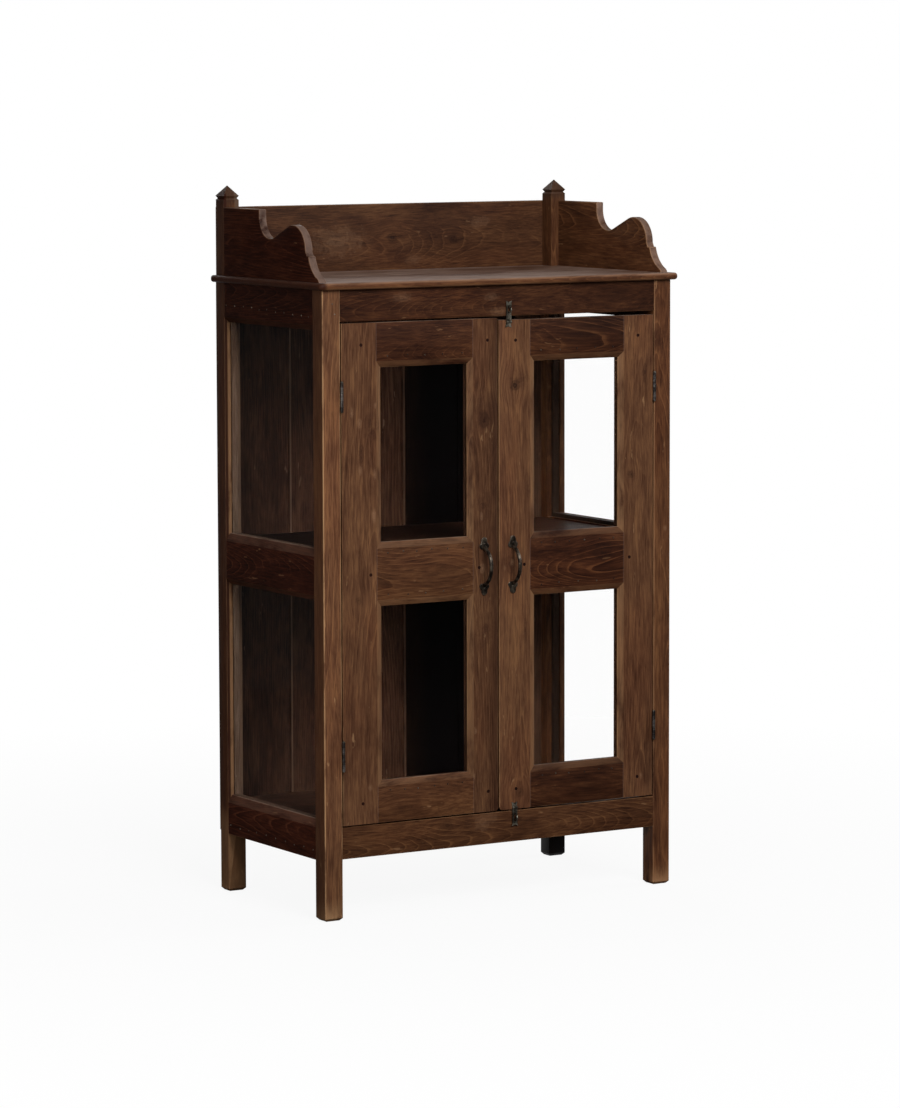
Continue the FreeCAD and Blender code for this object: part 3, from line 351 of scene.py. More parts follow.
def old_finish():
    """Colour, roughness and height of waxed and worn timber."""
    inputs = dict.fromkeys(FIGURE_MASKS + ("Wear", "Dust_and_sheen", "Scuff", "Figure"), "Float")
    inputs.update(dict.fromkeys(("Dark", "Middle", "Pale", "Bare", "Grime and sheen"), "Color"))
    outputs = {"Color": "Color", "Roughness": "Float", "Height": "Float"}
    group, given, outlet = new_group("old finish", inputs, outputs)
    tone = 0.5
    for label, weight in TONE_WEIGHTS.items():
        part = sum_of(group, "MULTIPLY", sum_of(group, "SUBTRACT", given[label], 0.5), weight)
        tone = sum_of(group, "ADD", part, tone)
    rings = sum_of(group, "MULTIPLY", given["Rings"], given["Figure"])
    doubled = sum_of(group, "MULTIPLY", sum_of(group, "SUBTRACT", tone, rings), 2.0)
    lower = sum_of(group, "MINIMUM", doubled, 1.0, clamp=True)
    upper = sum_of(group, "SUBTRACT", doubled, 1.0, clamp=True)
    colour = mixed(group, upper, mixed(group, lower, given["Dark"], given["Middle"]), given["Pale"])
    blush = sum_of(group, "MULTIPLY", given["Blush"], blush_share)
    colour = mixed(group, blush, colour, blush_tint, "MULTIPLY")
    lines = 0.0
    for label, depth in LINE_DEPTHS.items():
        lines = sum_of(group, "MAXIMUM", sum_of(group, "MULTIPLY", given[label], depth), lines)
    colour = mixed(group, sum_of(group, "MULTIPLY", lines, line_share), colour, given["Dark"])
    colour = mixed(group, sum_of(group, "MULTIPLY", given["Marks"], mark_share), colour, given["Bare"])
    rubbed = 0.0
    for label, patches in WEAR_PATCHES.items():
        patchy = sum_of(group, "MULTIPLY", given[label], ramp(group, given["Patches"], *patches))
        rubbed = sum_of(group, "MAXIMUM", patchy, rubbed)
    colour = mixed(group, rubbed, colour, given["Bare"])
    # pale dust on what faces up, which on the top board and the scroll rims is partly painted sheen
    dusty = given["Dust_and_sheen"]
    for label, patches in DUST_PATCHES.items():
        dusty = sum_of(group, "MULTIPLY", dusty, ramp(group, given[label], *patches))
    colour = mixed(group, sum_of(group, "MULTIPLY", dusty, dust_and_sheen_share), colour, given["Grime and sheen"])
    dry = sum_of(group, "ADD", sum_of(group, "ADD", given["Clouds"], rubbed), dusty)
    roughness = sum_of(group, "ADD", sum_of(group, "MULTIPLY", dry, dry_roughness), waxed_roughness)
    height = sum_of(group, "SUBTRACT", given["Fibres"], sum_of(group, "ADD", lines, rings))
    return close_group(group, outlet, {"Color": colour, "Roughness": roughness, "Height": height})


finish_group = old_finish()

# %% [markdown]
# ## Knots and knocks
# Each door frame has its own knots, dark stains and bare knocks, and people know a piece by them. Noise
# can't put them in the right place, so they are listed and drawn by one group: a soft spot with
# rings and a ragged edge. Round a knot the grain also bows, as it does in a tree round a branch.

# %% Node group: knot
bow_reach, bow_strength = -0.25, 0.60
ragged_stretch = (60.0, 60.0, 60.0)
ragged_reach = 1.6
knot_rings, knot_ring_depth, knot_depth = 16.0, 0.22, 0.72
knot_edge = (1.75, 0.85)


def knot():
    """Share of a spot round a point, and how far the grain bows round it."""
    inputs = {"Vector": "Vector", "Centre": "Vector", "Reach": "Vector"}
    group, given, outlet = new_group("knot", inputs, {"Share": "Float", "Bow": "Float"})
    apart = vector_sum(group, "SUBTRACT", given["Vector"], given["Centre"])
    away = vector_sum(group, "LENGTH", vector_sum(group, "DIVIDE", apart, given["Reach"]))
    square = sum_of(group, "MULTIPLY", sum_of(group, "MULTIPLY", away, away), bow_reach)
    bow = sum_of(group, "MULTIPLY", sum_of(group, "EXPONENT", square), bow_strength)
    ragged = noise(group, given["Vector"], ragged_stretch, 5.0, 0.70)["Fac"]
    away = sum_of(group, "ADD", away, sum_of(group, "MULTIPLY", ragged, ragged_reach))
    rings = sum_of(group, "SINE", sum_of(group, "MULTIPLY", away, knot_rings))
    rings = sum_of(group, "ADD", sum_of(group, "MULTIPLY", rings, knot_ring_depth), knot_depth)
    share = sum_of(group, "MULTIPLY", ramp(group, away, *knot_edge), rings)
    return close_group(group, outlet, {"Share": share, "Bow": bow})


knot_group = knot()

# %% Where the knots and knocks lie
SPOT_COLOURS = {"Dark": rgb(44, 22, 14), "Knot": rgb(26, 12, 7), "Bare": rgb(140, 106, 80)}
SPOTS = {
    # node: kind, place on its front in mm along X and Z, reach in mm, how far it is drawn out, strength
    "left_door_hinge_stile": [
        ("Dark", -266.0, 867.0, 24.0, 1.9, 0.69), ("Dark", -286.0, 820.0, 8.0, 4.0, 0.86),
        ("Bare", -305.0, 891.0, 5.0, 3.0, 0.54), ("Bare", -289.0, 873.0, 6.5, 2.0, 0.45),
        ("Bare", -288.0, 790.0, 5.5, 2.0, 0.41), ("Bare", -259.0, 783.0, 5.0, 3.0, 0.54),
        ("Bare", -261.0, 710.0, 6.0, 3.2, 0.59), ("Bare", -257.0, 903.0, 4.0, 2.5, 0.45),
        ("Knot", -292.0, 564.0, 10.0, 1.4, 0.52), ("Bare", -271.0, 231.0, 6.0, 1.6, 0.41)],
    "left_door_meeting_stile": [
        ("Knot", -34.0, 868.0, 18.5, 1.2, 0.92), ("Dark", -34.0, 880.0, 35.0, 1.8, 0.52),
        ("Dark", -35.0, 716.0, 24.0, 1.6, 0.75), ("Bare", -40.0, 698.0, 5.5, 2.2, 0.45),
        ("Dark", -34.0, 497.0, 29.0, 1.8, 0.57), ("Bare", -38.0, 605.0, 8.5, 1.6, 0.54),
        ("Bare", -53.0, 314.0, 4.0, 2.0, 0.50), ("Bare", -57.0, 233.0, 4.0, 2.0, 0.50)],
    "right_door_meeting_stile": [
        ("Knot", 30.0, 928.0, 15.5, 1.1, 0.95), ("Dark", 42.0, 936.0, 32.0, 0.8, 0.46),
        ("Dark", 58.0, 744.0, 9.0, 4.0, 0.63), ("Dark", 20.0, 609.0, 21.0, 1.4, 0.69),
        ("Bare", 24.0, 612.0, 5.5, 1.6, 0.50), ("Bare", 8.0, 602.0, 4.0, 2.0, 0.45),
        ("Dark", 51.0, 485.0, 6.5, 6.0, 0.69), ("Knot", 39.0, 195.0, 15.5, 1.0, 0.57)],
    "right_door_hinge_stile": [
        ("Dark", 307.0, 943.0, 7.0, 4.5, 0.86), ("Knot", 278.0, 756.0, 10.0, 1.2, 0.75),
        ("Bare", 300.0, 204.0, 6.0, 1.4, 0.36)],
    "front_right_post": [("Dark", 338.0, 994.0, 25.5, 1.6, 0.57), ("Bare", 352.0, 655.0, 5.0, 1.5, 0.45)],
    "front_top_rail": [
        ("Bare", -200.0, 1090.0, 14.0, 2.4, 0.22), ("Bare", -19.0, 1085.0, 12.0, 2.0, 0.22),
        ("Bare", -2.0, 1058.0, 15.0, 2.0, 0.24), ("Knot", 245.0, 1082.0, 20.5, 2.4, 0.34)],
    "front_bottom_rail": [
        ("Knot", -113.0, 148.0, 15.5, 1.4, 0.57), ("Bare", -36.0, 150.0, 29.0, 1.3, 0.25)],
    "left_door_middle_rail": [("Knot", -116.0, 608.0, 17.0, 2.6, 0.40)],
    "left_door_bottom_rail": [("Knot", -210.0, 188.0, 17.0, 2.8, 0.34)],
    "right_door_top_rail": [("Knot", 167.0, 1014.0, 18.5, 2.4, 0.46)],
    "right_door_middle_rail": [("Knot", 216.0, 619.0, 25.5, 1.4, 0.69)],
    "right_door_bottom_rail": [("Knot", 190.0, 196.0, 15.5, 3.0, 0.40)],
    "gallery_back_board": [
        ("Bare", -110.0, 1172.0, 44.0, 1.9, 0.27), ("Dark", -76.0, 1212.0, 16.0, 3.4, 0.55),
        ("Knot", 5.0, 1178.0, 14.0, 1.2, 0.80), ("Dark", 20.0, 1144.0, 30.0, 1.6, 0.65),
        ("Knot", 135.0, 1173.0, 13.0, 1.2, 0.75), ("Bare", 192.0, 1203.0, 16.0, 2.2, 0.22),
        ("Dark", 95.0, 1192.0, 40.0, 2.2, 0.45), ("Bare", 48.0, 1136.0, 14.0, 2.0, 0.18),
        ("Dark", -250.0, 1190.0, 22.0, 3.0, 0.45)],
}


def spotted(tree, where, node, grain):
    """Shares and kinds of a board's spots, and its coordinates bowed round the knots."""
    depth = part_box(node)[0].y
    bowed = where
    shares = []
    for kind, along, height, reach, drawn, strength in SPOTS.get(node, ()):
        centre = Vector((along * MM, depth, height * MM))
        longer = Vector((drawn, 1.0, 1.0) if grain == "x" else (1.0, 1.0, drawn))
        inputs = {"Vector": where, "Centre": centre, "Reach": longer * reach * MM}
        spot = add(tree, "ShaderNodeGroup", inputs, node_tree=knot_group).outputs
        shares.append((sum_of(tree, "MULTIPLY", spot["Share"], strength), kind))
        if kind == "Knot":
            pull = vector_sum(tree, "SUBTRACT", centre, where)
            bowed = vector_sum(tree, "ADD", bowed, vector_sum(tree, "SCALE", pull, spot["Bow"]))
    return shares, bowed


print(sum(len(spots) for spots in SPOTS.values()), "knots and knocks on", len(SPOTS), "boards")

# %% [markdown]
# ## Teak
# One function makes the material of any board. The mapping node turns the solid timber so that its
# grain runs along the board and shifts it so that the pith lies behind the face that shows. Where the
# timber leans a little towards that face, the saw cuts arches: rails lean more than posts. Shift and lean
# come from a seeded draw, so no two boards look the same and every run gives the same cabinet.

# %% Lay the timber in a board
GRAIN_TURNS = {"x": (0.0, -math.pi / 2, 0.0), "y": (math.pi / 2, 0.0, 0.0), "z": (0.0, 0.0, 0.0)}
GRAIN_LEANS = {"x": 6.0, "y": 5.0, "z": 2.0}
PITH_ASIDE = {"x": 20.0, "y": 25.0, "z": 50.0}
RING_SPACING = {"x": (1.8, 3.0), "y": (2.4, 3.8), "z": (3.6, 5.6)}
lean_shares = (0.6, 1.0)
pith_behind = (45.0 * MM, 95.0 * MM)
pith_along = 6.0
draw = random.Random(11)


def laid_timber(node, grain):
    """Shift and turn of the solid timber in one board, by the draw."""
    low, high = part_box(node)
    lean = math.radians(GRAIN_LEANS[grain]) * draw.choice((-1.0, 1.0)) * draw.uniform(*lean_shares)
    aside = PITH_ASIDE[grain] * MM * draw.uniform(-1.0, 1.0)
    behind = draw.uniform(*pith_behind)
    along = draw.uniform(-pith_along, pith_along)
    faces_x = grain == "y"
    leaning = Euler((0.0, lean, 0.0) if faces_x else (lean, 0.0, 0.0)).to_matrix()
    turned = (leaning @ Euler(GRAIN_TURNS[grain]).to_matrix()).to_euler()
    pith = Vector((behind, aside, along) if faces_x else (aside, behind, along))
    return pith - turned.to_matrix() @ ((low + high) / 2), turned


# %% Material: teak
TONES = {
    # dark, middle, pale and bare wood
    "pale": (rgb(58, 33, 20), rgb(91, 60, 40), rgb(119, 83, 54), rgb(152, 116, 82)),
    "brown": (rgb(46, 24, 13), rgb(78, 48, 29), rgb(104, 69, 43), rgb(136, 100, 70)),
    "red": (rgb(34, 14, 6), rgb(62, 34, 19), rgb(90, 56, 33), rgb(120, 86, 58)),
    "dark": (rgb(24, 7, 3), rgb(46, 19, 10), rgb(68, 35, 21), rgb(104, 72, 50)),
    "dry": (rgb(30, 17, 11), rgb(54, 35, 25), rgb(76, 53, 39), rgb(104, 82, 66)),
    "dusty": (rgb(70, 54, 43), rgb(92, 74, 61), rgb(110, 92, 78), rgb(124, 106, 92)),
}
# grey of dust; on upward faces and rims it is partly painted sheen
grime_and_sheen = rgb(146, 124, 112)
waxed_sheen, dull_sheen, dry_sheen = 0.10, 0.05, 0.02
timber_sway = 0.035
scuffed_feet = (45.0 * MM, -10.0 * MM)
GRAIN_BUMP = {"Strength": 0.25, "Distance": 0.6 * MM}


def teak(node, grain, tone, figure, shade=1.0, scuffed=False, sheen=waxed_sheen):
    """Material of one board: its grain direction, its tone and shade, and the strength of its figure."""
    material, tree, shader = new_material("teak " + node)
    shift, turned = laid_timber(node, grain)
    where = add(tree, "ShaderNodeTexCoord").outputs["Object"]
    spots, bowed = spotted(tree, where, node, grain)
    laid = {"Vector": bowed, "Location": shift, "Rotation": turned}
    mapped = add(tree, "ShaderNodeMapping", laid).outputs[0]
    spacing = draw.uniform(*RING_SPACING[grain]) * MM
    timber = {"Vector": mapped, "Ring spacing": spacing, "Sway": timber_sway}
    masks = add(tree, "ShaderNodeGroup", timber, node_tree=figure_group).outputs
    inputs = {label: masks[label] for label in FIGURE_MASKS}
    inputs.update({"Figure": figure, "Grime and sheen": grime_and_sheen})
    for label, colour in zip(("Dark", "Middle", "Pale", "Bare"), TONES[tone]):
        inputs[label] = (*[value * shade for value in colour[:3]], 1.0)
    for label in ("Wear", "Dust_and_sheen"):
        inputs[label] = add(tree, "ShaderNodeAttribute", attribute_name=label.lower()).outputs["Fac"]
    if scuffed:
        height = add(tree, "ShaderNodeSeparateXYZ", {0: where}).outputs["Z"]
        inputs["Scuff"] = ramp(tree, height, *scuffed_feet)
    worn = add(tree, "ShaderNodeGroup", inputs, node_tree=finish_group).outputs
    colour = worn["Color"]
    for share, kind in spots:
        colour = mixed(tree, share, colour, SPOT_COLOURS[kind])
    bump = add(tree, "ShaderNodeBump", {"Height": worn["Height"], **GRAIN_BUMP}).outputs["Normal"]
    feed(tree, shader, {"Base Color": colour, "Roughness": worn["Roughness"], "Normal": bump})
    shader.inputs["Specular IOR Level"].default_value = sheen
    return material


print("tones:", ", ".join(TONES))

# %% [markdown]
# ## Softened boards
# Planed solids have edges that cut the light like paper. On the real cabinet every arris is rounded and
# rubbed. A bevel modifier would also round the edges inside the joints, so a copy of each board is merged
# into one skin, its flat faces are cleaned of the triangles that came with it, and its long sharp edges
# are picked in code and bevelled.

# %% Copy a board as one skin
merge_reach = 0.01 * MM
flat_angle = 1.0


def only(piece):
    """Deselect everything else and make a piece the active one."""
    bpy.ops.object.select_all(action="DESELECT")
    piece.select_set(True)
    bpy.context.view_layer.objects.active = piece


def merged_copy(node, name):
    """Copy of a node's mesh as one skin with clean flat faces."""
    piece = bpy.data.objects.new(name, nodes[node].data.copy())
    bpy.context.scene.collection.objects.link(piece)
    only(piece)
    piece.data.materials.clear()
    bpy.ops.object.mode_set(mode="EDIT")
    bpy.ops.mesh.select_all(action="SELECT")
    bpy.ops.mesh.remove_doubles(threshold=merge_reach)
    bpy.ops.mesh.customdata_custom_splitnormals_clear()
    bpy.ops.mesh.dissolve_limited(angle_limit=math.radians(flat_angle))
    bpy.ops.object.mode_set(mode="OBJECT")
    return piece


# %% Bevel its edges
joint_reach = 0.6 * MM


def in_joint(point, boxes):
    """True where a point lies in or on the box of a neighbouring board."""
    for low, high in boxes:
        sides = zip(low, point, high)
        if all(least - joint_reach < place < most + joint_reach for least, place, most in sides):
            return True
    return False


def soften(piece, width, shortest, sharpest, boxes):
    """Bevel the long, bare convex edges of a piece, and leave the new faces selected."""
    only(piece)
    bpy.ops.object.mode_set(mode="EDIT")
    bpy.ops.mesh.select_mode(type="EDGE")
    bpy.ops.mesh.select_all(action="DESELECT")
    mesh = bmesh.from_edit_mesh(piece.data)
    picked = 0
    for edge in mesh.edges:
        if len(edge.link_faces) == 2 and edge.is_convex and edge.calc_length() > shortest:
            middle = (edge.verts[0].co + edge.verts[1].co) / 2
            if edge.calc_face_angle() > math.radians(sharpest) and not in_joint(middle, boxes):
                edge.select_set(True)
                picked += 1
    bmesh.update_edit_mesh(piece.data)
    if picked:
        bpy.ops.mesh.bevel(offset=width, segments=2, profile=0.5, clamp_overlap=False)
    bpy.ops.mesh.select_mode(type="FACE")
    bpy.ops.object.mode_set(mode="OBJECT")
    return picked


# %% [markdown]
# ## Wear, dust and painted sheen
# Hands rub the edges bare and dust settles on what faces up. Both follow the shape of a board, which a
# noise can't know, so they are painted on its faces as two attributes that the finish reads. The sawn
# rims of the scroll boards hold dust all round, and the front bottom rail is wiped clean. The pale dust on
# upward faces and on the rims is partly painted sheen, where those faces catch the light.

# %% Paint wear, and dust that is partly painted sheen
square_on, sloping = 0.999, 0.95
rim_dust = 0.55
rim_turn = 0.5
dust_and_sheen_power = 3
smooth_angle = 30.0


def paint(piece, wear, slope_wear, dust_and_sheen, dusty_rim):
    """Mark the rubbed edges, worn slopes and dusty tops of a softened piece, the dust being partly painted
    sheen, and shade it smooth.
    """
    rubbed = []
    dusty = []
    for face in piece.data.polygons:
        squarest = max(abs(v) for v in face.normal)
        rounded = face.select and squarest < square_on
        rubbed.append(wear if rounded else slope_wear * (squarest < sloping))
        on_rim = rim_dust if abs(face.normal.x) < rim_turn else 0.0
        # the more a face looks up the more dust it gets, and on the top board that is partly painted sheen
        dusty.append(on_rim if dusty_rim else dust_and_sheen * max(0.0, face.normal.z) ** dust_and_sheen_power)
    for label, values in (("wear", rubbed), ("dust_and_sheen", dusty)):
        piece.data.attributes.new(label, "FLOAT", "FACE").data.foreach_set("value", values)
    bpy.ops.object.shade_smooth_by_angle(angle=math.radians(smooth_angle))


def settle(piece, body, slot, *stands_for):
    """Let a finished piece ride on its body, and hide what it stands for."""
    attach(piece, body)
    if stands_for:
        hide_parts(*stands_for)


# %% [markdown]
# ## The boards
# Posts and door stiles are the palest, the doors' rails are redder, and the left side is nearly black.
# Each board has its own row with the tone, shade and strength of figure that were judged, and with
# the width of its worn edges. One loop then softens, paints, finishes and settles them all.

# %% The boards
BOARDS = [
    # node, body, grain, tone, shade, figure, edge width in mm, shortest edge in mm, wear
    ("front_left_post", "cabinet", "z", "pale", 1.18, 0.35, 0.8, 60.0, 1.0),
    ("front_right_post", "cabinet", "z", "brown", 1.25, 0.35, 0.8, 60.0, 0.5),
    ("back_left_post", "cabinet", "z", "brown", 0.95, 0.35, 0.8, 60.0, 0.5),
    ("back_right_post", "cabinet", "z", "brown", 1.00, 0.35, 0.8, 60.0, 0.5),
    ("front_bottom_rail", "cabinet", "x", "brown", 0.95, 0.40, 1.4, 60.0, 0.6),
    ("front_top_rail", "cabinet", "x", "red", 0.80, 0.38, 1.4, 60.0, 0.5),
    ("gallery_back_board", "cabinet", "x", "brown", 0.76, 0.32, 1.4, 60.0, 0.7),
    ("top_board", "cabinet", "x", "brown", 1.50, 0.30, 1.0, 300.0, 0.45),
    ("gallery_left_scroll", "cabinet", "y", "dark", 0.92, 0.95, 1.6, 0.5, 0.9),
    ("gallery_right_scroll", "cabinet", "y", "brown", 1.00, 0.60, 1.6, 0.5, 0.9),
    ("left_door_hinge_stile", "left_door", "z", "pale", 1.00, 0.35, 1.0, 60.0, 0.7),
    ("left_door_meeting_stile", "left_door", "z", "pale", 0.86, 0.35, 1.0, 60.0, 0.7),
    ("right_door_meeting_stile", "right_door", "z", "pale", 1.02, 0.30, 1.0, 60.0, 0.7),
    ("right_door_hinge_stile", "right_door", "z", "pale", 1.02, 0.30, 1.0, 60.0, 0.7),
    ("left_door_bottom_rail", "left_door", "x", "brown", 1.12, 0.45, 0.8, 60.0, 0.6),
    ("left_door_middle_rail", "left_door", "x", "brown", 0.92, 0.55, 0.8, 60.0, 0.6),
    ("left_door_top_rail", "left_door", "x", "red", 0.98, 0.28, 0.8, 60.0, 0.6),
    ("right_door_bottom_rail", "right_door", "x", "red", 0.92, 0.60, 0.8, 60.0, 0.6),
    ("right_door_middle_rail", "right_door", "x", "red", 1.00, 0.65, 0.8, 60.0, 0.6),
    ("right_door_top_rail", "right_door", "x", "red", 0.84, 0.55, 0.8, 60.0, 0.6),
]
SIDE_SHADES = {"bottom": 1.60, "middle": 1.40, "top": 0.88}
BOARDS += [("%s_side_%s_rail" % (side, level), "cabinet", "y", "dark", shade, 0.55, 1.2, 60.0, 0.7)
           for side in ("left", "right") for level, shade in SIDE_SHADES.items()]
board_angle, post_angle = 60.0, 40.0
rubbed_slope, waxed_slope = 0.25, 0.12
for node, body, grain, tone, shade, figure, width, shortest, wear in BOARDS:
    is_post = "post" in node
    board = merged_copy(node, node + "_board")
    boxes = [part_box(other[0]) for other in BOARDS if other[1] == body and other[0] != node]
    count = soften(board, width * MM, shortest * MM, post_angle if is_post else board_angle, boxes)
    slope_wear = rubbed_slope if body != "cabinet" or node == "top_board" else waxed_slope
    paint(board, wear, slope_wear, 0.0 if node == "front_bottom_rail" else 1.0, "scroll" in node)
    sheen = dull_sheen if tone == "dark" else waxed_sheen
    board.data.materials.append(teak(node, grain, tone, figure, shade, is_post, sheen))
    settle(board, body, "wood", node)
    print(node, "softened along", count, "edges,", len(board.data.polygons), "faces")

# %% [markdown]
# ## Bare lip
# Beside the left panes the back post shows a narrow lip that is rubbed to bare wood. Its faces look to
# the front between the lowest and the highest pane, so they are found by normal and height, and their
# wear is set to full.

# %% Bare lip beside the left panes
facing_front = -0.9
pane_low, pane_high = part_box("left_lower_side_pane")[0].z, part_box("left_upper_side_pane")[1].z
mesh = bpy.data.objects["back_left_post_board"].data
bare = 0
for face, value in zip(mesh.polygons, mesh.attributes["wear"].data):
    if face.normal.y < facing_front and pane_low < face.center.z < pane_high:
        value.value = 1.0
        bare += 1
print("the back left post has", bare, "bare faces")

# %% [markdown]
# ## Plain boards
# What lies inside, the shelf, the bottom, the back and the cleats, was never polished. Those solids are
# right as they are, so they stay and only get a dry, dusty teak.

# %% Inside boards
INSIDE = {"back_boards": "z", "shelf": "x", "bottom_board": "x", "board_cleats": "y", "door_stops": "x",
          "back_top_rail": "x", "back_bottom_rail": "x", "side_glazing_beads": "z", "left_door_beads": "z",
          "right_door_beads": "z"}
INSIDE_SHADES = {"back_boards": 1.45, "shelf": 0.70}
inside_figure = 0.5


def finished(node, material):
    """Give a solid of the frame its material."""
    nodes[node].data.materials.clear()
    nodes[node].data.materials.append(material)


for node, grain in INSIDE.items():
    tone = "dusty" if node == "side_glazing_beads" else "dry"
    shade = INSIDE_SHADES.get(node, 1.0)
    finished(node, teak(node, grain, tone, inside_figure, shade, sheen=dry_sheen))
print(len(INSIDE), "inside nodes finished")

# %% [markdown]
# ## Tints
# Old timber is darker or paler in places that no noise would choose. A tint is a share that rises along
# one axis, or along several for a band, and it is mixed in just before the colour reaches the shader.
# So it lies over the grain, and one board can carry several. Most tints are stains in the wood; a few are
# painted shade, and they are marked where they are listed.

# %% Helpers for tints
def band(axis, edge, start, full):
    """Stretch of an axis over which a stain rises, from start to full, in mm from an edge."""
    return axis, edge + start * MM, edge + full * MM


def tint_band(node, colour, strength, bands):
    """Mix a colour into a board where all its bands are full."""
    tree = bpy.data.materials["teak " + node].node_tree
    shader = tree.nodes["Principled BSDF"]
    where = tree.nodes["Texture Coordinate"].outputs["Object"]
    place = add(tree, "ShaderNodeSeparateXYZ", {0: where}).outputs
    share = strength
    for axis, start, full in bands:
        share = sum_of(tree, "MULTIPLY", ramp(tree, place[axis], start, full), share)
    plain = shader.inputs["Base Color"].links[0].from_socket
    feed(tree, shader, {"Base Color": mixed(tree, share, plain, colour)})
    print("tinted", node)


# %% [markdown]
# ## Tints inside
# Inside, two planks of the back are nearly black. The shelf is darker towards the left: that is painted
# shade, for the shadow that lies over the left half of the inside. The planks at the left are a little
# darker, the last one at the right is paler, and a pale line runs along each seam. The back is one node,
# so its planks are told apart by the places of their seams.

# %% Tints inside
# near black: the dark planks of the back, and painted shade on the left of the shelf and the right back foot
near_black = rgb(6, 3, 3)
first_plank, next_planks = 148.0, 119.75
back_low, back_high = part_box("back_boards")
seams = [back_low.x + (first_plank + next_planks * index) * MM for index in range(5)]
heart = (back_low.y + back_high.y) / 2
inside, outside = band("Y", heart, 1.0, -1.0), band("Y", heart, -1.0, 1.0)
dark_end = band("X", seams[4], 1.0, 0.0)
pale_seam_lines = (0.55, 0.55, 0.35, 0.35, 0.35)
INSIDE_TINTS = [
    # node, colour, strength, bands
    ("back_boards", near_black, 0.45, [inside, band("X", seams[1], 1.0, 0.0)]),
    ("back_boards", near_black, 0.86, [inside, band("X", seams[2], 0.0, 1.0), dark_end]),
    ("back_boards", near_black, 1.00, [inside, band("X", seams[2], 0.0, 60.0), dark_end]),
    ("back_boards", TONES["dry"][3], 0.24, [inside, band("X", seams[4], 0.0, 1.0)]),
    # painted shade: the left part of the shelf is darkened where the inside lies in shadow
    ("shelf", near_black, 0.60, [("X", seams[3], seams[2])]),
    ("side_glazing_beads", TONES["dry"][0], 0.80, [band("X", 0.0, -1.0, 1.0)]),
]
for number, seam in enumerate(seams):
    line = [band("X", seam, -4.0, -3.0), band("X", seam, 0.0, -1.0)]
    if number > 2:
        line.append(outside)
    INSIDE_TINTS.append(("back_boards", TONES["dry"][3], pale_seam_lines[number], line))
for row in INSIDE_TINTS:
    tint_band(*row)

# %% [markdown]
# ## Tints outside
# The right back foot is darkened to near black: that is painted shade, for the shadow under the cabinet.
# The left back foot is paler. The finials are weathered, the left back post has a dark outer edge, a dark
# line beside its lip and a dusty inner side, and the left front post is darker and redder on its side
# than in front, where the darkening is painted shade. The left door is darker where it meets the other
# one. The nose of the top board is darker than its face, and the board is darker along its left edge.

# %% Tints outside
leg, foot = band("Z", 0.0, 160.0, 100.0), band("Z", 0.0, 160.0, 120.0)
above_leg = band("Z", 0.0, 140.0, 180.0)
finial = band("Z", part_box("gallery_back_board")[1].z, 0.0, 12.0)
back_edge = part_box("back_left_post")[0].x
front_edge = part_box("front_left_post")[0].x
meeting_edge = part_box("left_door_meeting_stile")[1].x
top_low, top_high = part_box("top_board")
outer_edge = [band("X", back_edge, 5.0, 3.0), above_leg]
lip_line = [band("X", back_edge, 0.4, 1.0), band("X", back_edge, 6.0, 5.0), above_leg]
nose = [band("Y", top_low.y, 9.0, 5.0), band("Z", top_high.z, -1.5, -4.0)]
OUTSIDE_TINTS = [
    # node, colour, strength, bands
    # painted shade: the right back foot is darkened to near black, as the shadow under the cabinet
    ("back_right_post", near_black, 0.98, [leg]),
    ("back_left_post", TONES["pale"][3], 0.25, [foot]),
    ("back_left_post", TONES["dry"][1], 0.60, [finial]),
    ("back_right_post", TONES["dry"][1], 0.60, [finial]),
    ("back_left_post", TONES["dark"][1], 0.45, outer_edge),
    ("back_left_post", TONES["dark"][1], 0.90, lip_line),
    ("back_left_post", TONES["dusty"][1], 0.70, [band("X", back_edge, 22.0, 23.0), above_leg]),
    # the left front post's side: redder in its own colour, and darker as painted shade on the dim side
    ("front_left_post", TONES["red"][1], 0.55, [band("X", front_edge, 0.6, 0.2)]),
    ("front_left_post", TONES["brown"][0], 0.16, [leg]),
    ("left_door_meeting_stile", TONES["red"][0], 0.40, [band("X", meeting_edge, -24.0, -4.0)]),
    ("top_board", TONES["brown"][0], 0.34, nose),
    ("top_board", TONES["dark"][1], 0.88, [band("X", top_low.x, 18.0, 8.0)]),
]
for row in OUTSIDE_TINTS:
    tint_band(*row)

# %% [markdown]
# ## Dust in the shoulders
# Where a door's rail meets its stile, a fine pale line of dust sits in the joint. It is a tint as well:
# the two ends of the rail's front face are measured on its mesh, and each end gets a band of 2 mm.

# %% Dust in the shoulders of the door rails
shoulder_dust = 0.13
front_reach = 0.1 * MM
for side in ("left", "right"):
    for level in ("bottom", "middle", "top"):
        rail = "%s_door_%s_rail" % (side, level)
        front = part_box(rail)[0].y + front_reach
        reach = [vert.co.x for vert in bpy.data.objects[rail + "_board"].data.vertices if vert.co.y < front]
        for end, inwards in ((min(reach), 1.0), (max(reach), -1.0)):
            tint_band(rail, grime_and_sheen, shoulder_dust, [band("X", end, 2.0 * inwards, 0.5 * inwards)])

# %% [markdown]
# ## Pegs
# Two pegs go through each joint of the doors. Only their ends show, and they are a darker teak with a
# strong figure.

# %% Pegs
peg_figure, peg_shade = 0.9, 0.45
for node in ("left_door_pegs", "right_door_pegs"):
    finished(node, teak(node, "y", "dark", peg_figure, peg_shade))
print("pegs darkened")

# %% [markdown]
# ## Glass
# The panes are real slabs, so a transmitting shader bends the light as they would. Old window glass is
# thin and clean here: its reflections are faint, and a breath of dust tints it a little. Rays on their
# way to a lamp pass straight through, so that the lamps light the boards inside.

